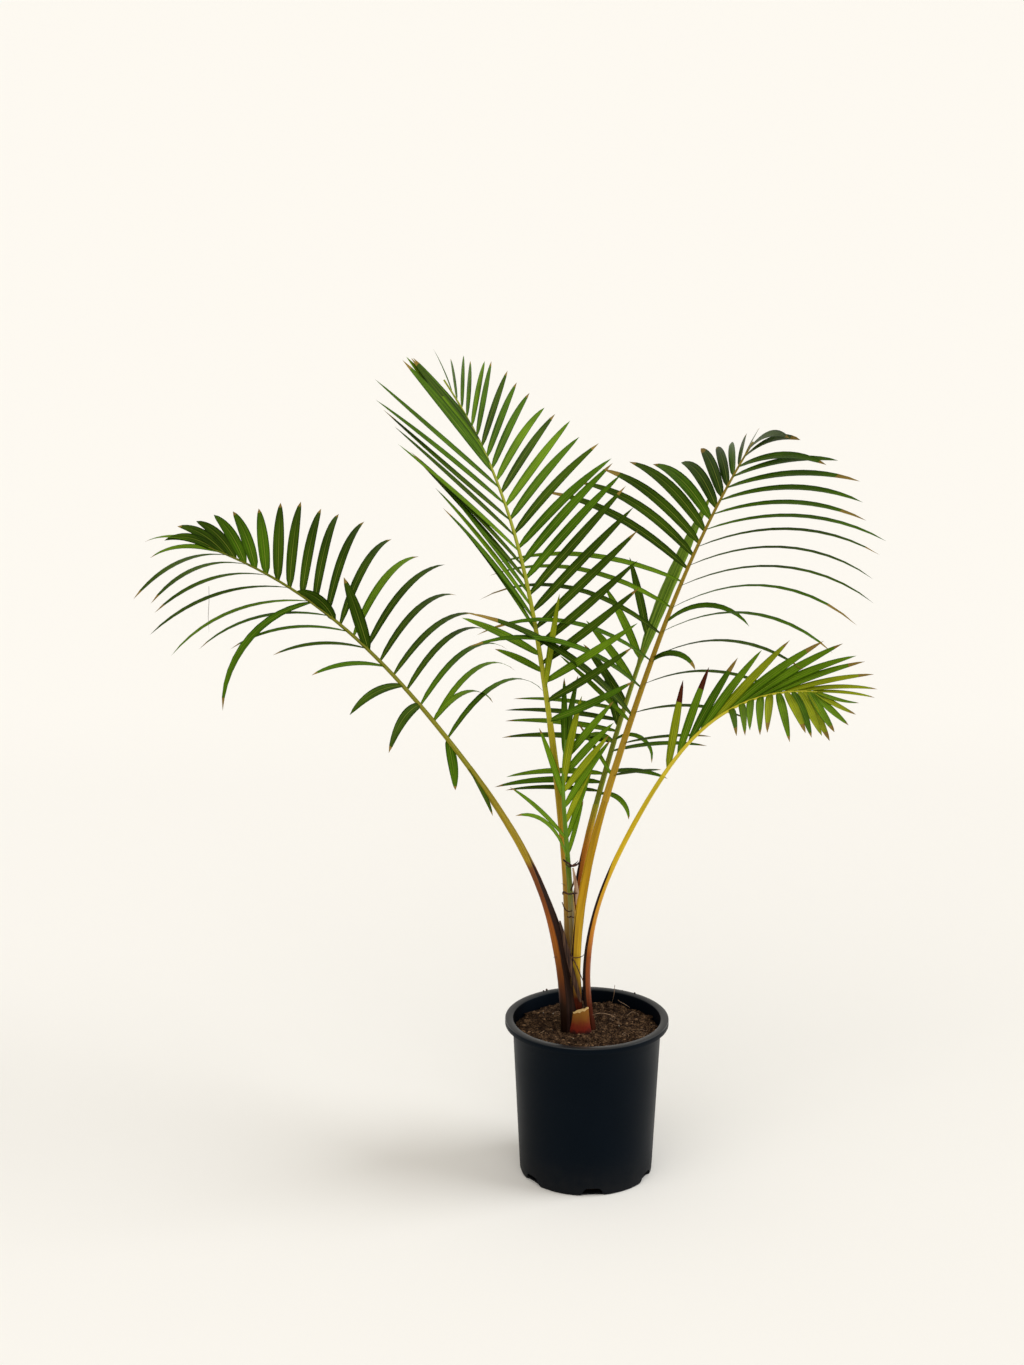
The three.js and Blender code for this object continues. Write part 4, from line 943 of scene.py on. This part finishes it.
def leaflet(stand, seed, side, fan, rise, droop, reach, width, level):
    """Corners of one blade, a grid from its root to its tip."""
    point, tangent, right, face = stand
    f, r = math.radians(fan), math.radians(rise)
    out = (tangent * math.cos(f) + right * (side * math.cos(r) * math.sin(f))
           + face * (math.sin(r) * math.sin(f)))
    run = math.hypot(out.x, out.y)
    slope = math.atan2(out.z, run)
    flat = Vector((out.x / run, out.y / run, 0))
    place = point.copy()
    # The edge starts out along the rachis and is carried on down the midrib
    edge = tangent.copy()
    corners = []
    sway = SWAY_SPREAD * (chance(seed + 0.7) - 0.5)
    for i in range(BLADE_STEPS + 1):
        t = i / BLADE_STEPS
        bend = slope - math.radians(droop) * max(t - 0.5 / BLADE_STEPS, 0) ** DROOP_POWER
        angle = max(bend, -STEEPEST)
        ahead = flat * math.cos(angle) + Vector((0, 0, math.sin(angle)))
        if i > 0:
            place = place + ahead * (reach * MM / BLADE_STEPS)
        edge = (edge - ahead * edge.dot(ahead)).normalized()
        sky = (Vector((0, 0, 1)) - ahead * ahead.z) * level
        top = (ahead.cross(edge) * side * (1 - level) + sky).normalized()
        across = top.cross(ahead)
        half = leaflet_width(t) * width * MM / 2
        drift = across * (sway * reach * MM * t * t)
        for k in range(BLADE_ACROSS + 1):
            u = k / BLADE_ACROSS * 2 - 1
            lift = BLADE_FOLD * abs(u) * half * 2 - BLADE_CROWN * half * u * u
            corners.append(place + drift + across * (u * half) + top * lift)
    return corners


def leaflets(key):
    """Seed, place along the frond, shape and, for some strays, tone of each leaflet."""
    frond = FRONDS[key]
    for index, row in enumerate(frond["rows"]):
        for i in range(row["count"]):
            u = i / (row["count"] - 1)
            n = i + 40 * index + 100 * ord(key)
            share = row["start"] + (row["end"] - row["start"]) * u * (1 + row["crowd"] * (1 - u))
            yield n, share, {
                "side": row["side"],
                "width": along(row["width"], u),
                "level": along(row["level"], u),
                "fan": along(row["fan"], u) + FAN_SPREAD * (chance(n + 0.1) - 0.5),
                "rise": along(row["rise"], u) + RISE_SPREAD * (chance(n + 0.2) - 0.5),
                "droop": along(row["droop"], u) + DROOP_SPREAD * (chance(n + 0.4) - 0.5),
                "reach": along(row["reach"], u) * (1 + REACH_SPREAD * (chance(n + 0.3) - 0.5)),
            }, None
    for i, stray in enumerate(frond.get("strays", [])):
        shape = {name: value for name, value in stray.items() if name not in ("at", "tone")}
        yield 90 + i + 100 * ord(key), stray["at"], shape, stray.get("tone")


def frond_mesh(key):
    """All leaflets of a frond as arrays of corners, faces, UVs and finish picks."""
    vertices, faces, uvs, picks = [], [], [], []
    wide = BLADE_ACROSS + 1
    for n, share, shape, tone in leaflets(key):
        start = len(vertices)
        vertices.extend(leaflet(stance(FRONDS[key], lines[key], share), n, **shape))
        draw, pick, total = chance(n + 0.6), 0, GREEN_SHARES[key][0]
        while draw > total and pick < len(GREENS) - 1:
            pick += 1
            total += GREEN_SHARES[key][pick]
        if tone:
            pick = GREENS.index(tone)
        is_wine = n - 100 * ord(key) in WINE_TIPPED.get(key, ())
        tip = len(GREENS) + is_wine
        green = 1 - (WINE_TIP if is_wine else DRY_TIPS[key] * chance(n + 0.8))
        for a in range(BLADE_STEPS):
            for b in range(BLADE_ACROSS):
                low = start + a * wide + b
                faces.append((low, low + 1, low + wide + 1, low + wide))
                picks.append(tip if (a + 0.5) / BLADE_STEPS > green else pick)
        for a in range(BLADE_STEPS + 1):
            for b in range(wide):
                uvs.append((b / BLADE_ACROSS, a / BLADE_STEPS))
    return vertices, faces, uvs, picks


def rachis_finish(name, low, high, fibre):
    """The rib between the leaflets, waxy, with fine fibres along it."""
    skin = Finish(name, Roughness=0.42, Specular_IOR_Level=0.15)
    uv = skin.uv_place()
    up = skin.axis(uv, 1)
    lines_along = skin.smooth(skin.grain(1, 4, uv, (40, 4, 1)), 0.42, 0.65)
    skin.set("Base Color", skin.blend(lines_along * 0.6, skin.blend(up, low, high), fibre))
    return skin


RACHISES = {
    "a": rachis_finish("rachis_olive", (0.25, 0.22, 0.012), (0.13, 0.15, 0.008), (0.10, 0.11, 0.006)),
    "b": rachis_finish(
        "rachis_yellow_green", (0.38, 0.36, 0.022), (0.24, 0.28, 0.015), (0.18, 0.20, 0.010)),
    "c": rachis_finish("rachis_orange_gold", (0.42, 0.25, 0.012), (0.20, 0.16, 0.012), (0.22, 0.11, 0.006)),
    "d": rachis_finish(
        "rachis_bright_yellow", (0.66, 0.50, 0.030), (0.45, 0.46, 0.030), (0.40, 0.34, 0.020)),
    "e": rachis_finish("rachis_green_gold", (0.20, 0.22, 0.012), (0.16, 0.22, 0.012), (0.09, 0.12, 0.006)),
    "f": rachis_finish("rachis_green", (0.10, 0.20, 0.010), (0.12, 0.24, 0.012), (0.05, 0.10, 0.005)),
}

for key, frond in FRONDS.items():
    blades = joined_mesh(*frond_mesh(key))
    blades.data.shade_smooth()
    wide, fine = frond["rachis"]
    rachis = rolled_grid(
        frond, lines[key], frond["petiole"], 1,
        lambda up: along((wide, (wide + fine) / 2, fine), up),
        lambda up: along((wide * 0.85, (wide + fine) * 0.42, fine), up), 0.3, 0.04)
    settle(blades, "leaflets_" + key, list(LEAVES.values()), "frond_" + key)
    settle(rachis, "rachis_" + key, [RACHISES[key]])

# Folded strap: the newest leaflets at the end of the young frond, still pleated
# together like a closed fan, pale green, with painted shade in its folds as darker stripes.
STRAP_FROM = 0.6
STRAP_WIDTH = 24
STRAP_DEPTH = 7
strap_skin = Finish("folded_young_leaf", Roughness=0.4, Specular_IOR_Level=0.07)
strap_uv = strap_skin.uv_place()
strap_lines = strap_skin.grain(1, 2, strap_uv, (60, 1.5, 1))
# Stripes along the strap: the pale ones are its own green, and the dark ones are painted shade in the folds
# of its pleats.
strap_skin.set("Base Color", strap_skin.ramp(strap_lines, [
    (0.36, (0.035, 0.085, 0.003)), (0.5, (0.12, 0.22, 0.012)), (0.64, (0.26, 0.36, 0.04))]))
strap_skin.relief(strap_lines, 0.0006, 0.8)
strap_spread = tuple(v * STRAP_WIDTH / 2 for v in (0.15, 0.8, 1, 0.95, 0.6, 0.12))
strap_thick = tuple(v * STRAP_DEPTH / 2 for v in (0.5, 0.9, 1, 0.9, 0.7, 0.25))
strap = rolled_grid(
    FRONDS["e"], lines["e"], STRAP_FROM, 1,
    lambda up: along(strap_spread, up), lambda up: along(strap_thick, up), 0.2, 0.10)
settle(strap, "folded_strap", [strap_skin])

# Stage: a pale seamless paper sweep, two very wide lamps as soft as light from a
# window, and the photo's viewpoint. Places are in metres and angles in degrees.
SWEEP_WIDTH = 16
SWEEP_FRONT = -6
SWEEP_BEND = 2.0
SWEEP_RADIUS = 6.0
SWEEP_SLOPE = 5.5
SWEEP_LENGTH = 40
SWEEP_STEPS = 12
sweep_points = [(SWEEP_FRONT, 0.0)]
for step in range(SWEEP_STEPS + 1):
    turn = math.radians(SWEEP_SLOPE) * step / SWEEP_STEPS
    sweep_points.append((SWEEP_BEND + SWEEP_RADIUS * math.sin(turn), SWEEP_RADIUS * (1 - math.cos(turn))))
low_y, low_z = sweep_points[-1]
sweep_points.append((low_y + SWEEP_LENGTH * math.cos(turn), low_z + SWEEP_LENGTH * math.sin(turn)))
sweep_corners = []
for y, z in sweep_points:
    sweep_corners += [(-SWEEP_WIDTH / 2, y, z), (SWEEP_WIDTH / 2, y, z)]
sweep_faces = [(2 * i, 2 * i + 1, 2 * i + 3, 2 * i + 2) for i in range(len(sweep_points) - 1)]
sweep = joined_mesh(sweep_corners, sweep_faces)
sweep.name = "studio_sweep"
sweep.data.shade_smooth()
paper = Finish("pale_paper", Base_Color=(0.895, 0.882, 0.856, 1), Roughness=1.0, Specular_IOR_Level=0.0)
sweep.data.materials.append(paper.material)
sweep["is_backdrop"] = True

world = bpy.data.worlds.new("soft_room")
world.use_nodes = True
room = world.node_tree.nodes["Background"]
room.inputs["Color"].default_value = (1.0, 0.95, 0.87, 1)
room.inputs["Strength"].default_value = 0.53
bpy.context.scene.world = world


def broad_light(name, strength, spread, tint, toward):
    """A far, very wide lamp, as even as light from a big window."""
    lamp = bpy.data.lights.new(name, "SUN")
    lamp.energy = strength
    lamp.angle = math.radians(spread)
    lamp.color = tint
    holder = bpy.data.objects.new(name, lamp)
    holder.rotation_euler = Vector(toward).to_track_quat("Z", "Y").to_euler()
    bpy.context.scene.collection.objects.link(holder)


broad_light("key_light", 1.95, 44, (0.97, 0.99, 1.0), (0.85, -0.06, 0.52))
broad_light("fill_light", 1.12, 70, (1.0, 0.975, 0.93), (-0.25, -0.70, 0.67))

IMAGE_HEIGHT_PX = 1365
FOCAL_PX = 2400
SENSOR_MM = 36
CAMERA_PLACE = (-0.1145, -3.4273, 1.6624)
CAMERA_PITCH = 14.471
camera_data = bpy.data.cameras.new("photo_camera")
camera_data.sensor_width = SENSOR_MM
camera_data.lens = FOCAL_PX / IMAGE_HEIGHT_PX * SENSOR_MM
camera = bpy.data.objects.new("photo_camera", camera_data)
camera.location = CAMERA_PLACE
camera.rotation_euler = (math.radians(90 - CAMERA_PITCH), 0, 0)
bpy.context.scene.collection.objects.link(camera)
bpy.context.scene.camera = camera
bpy.context.scene.view_settings.view_transform = "Standard"

boxes = {"cad": cad_box, "visual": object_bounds()}
{key: [list(corner) for corner in box] for key, box in boxes.items()}
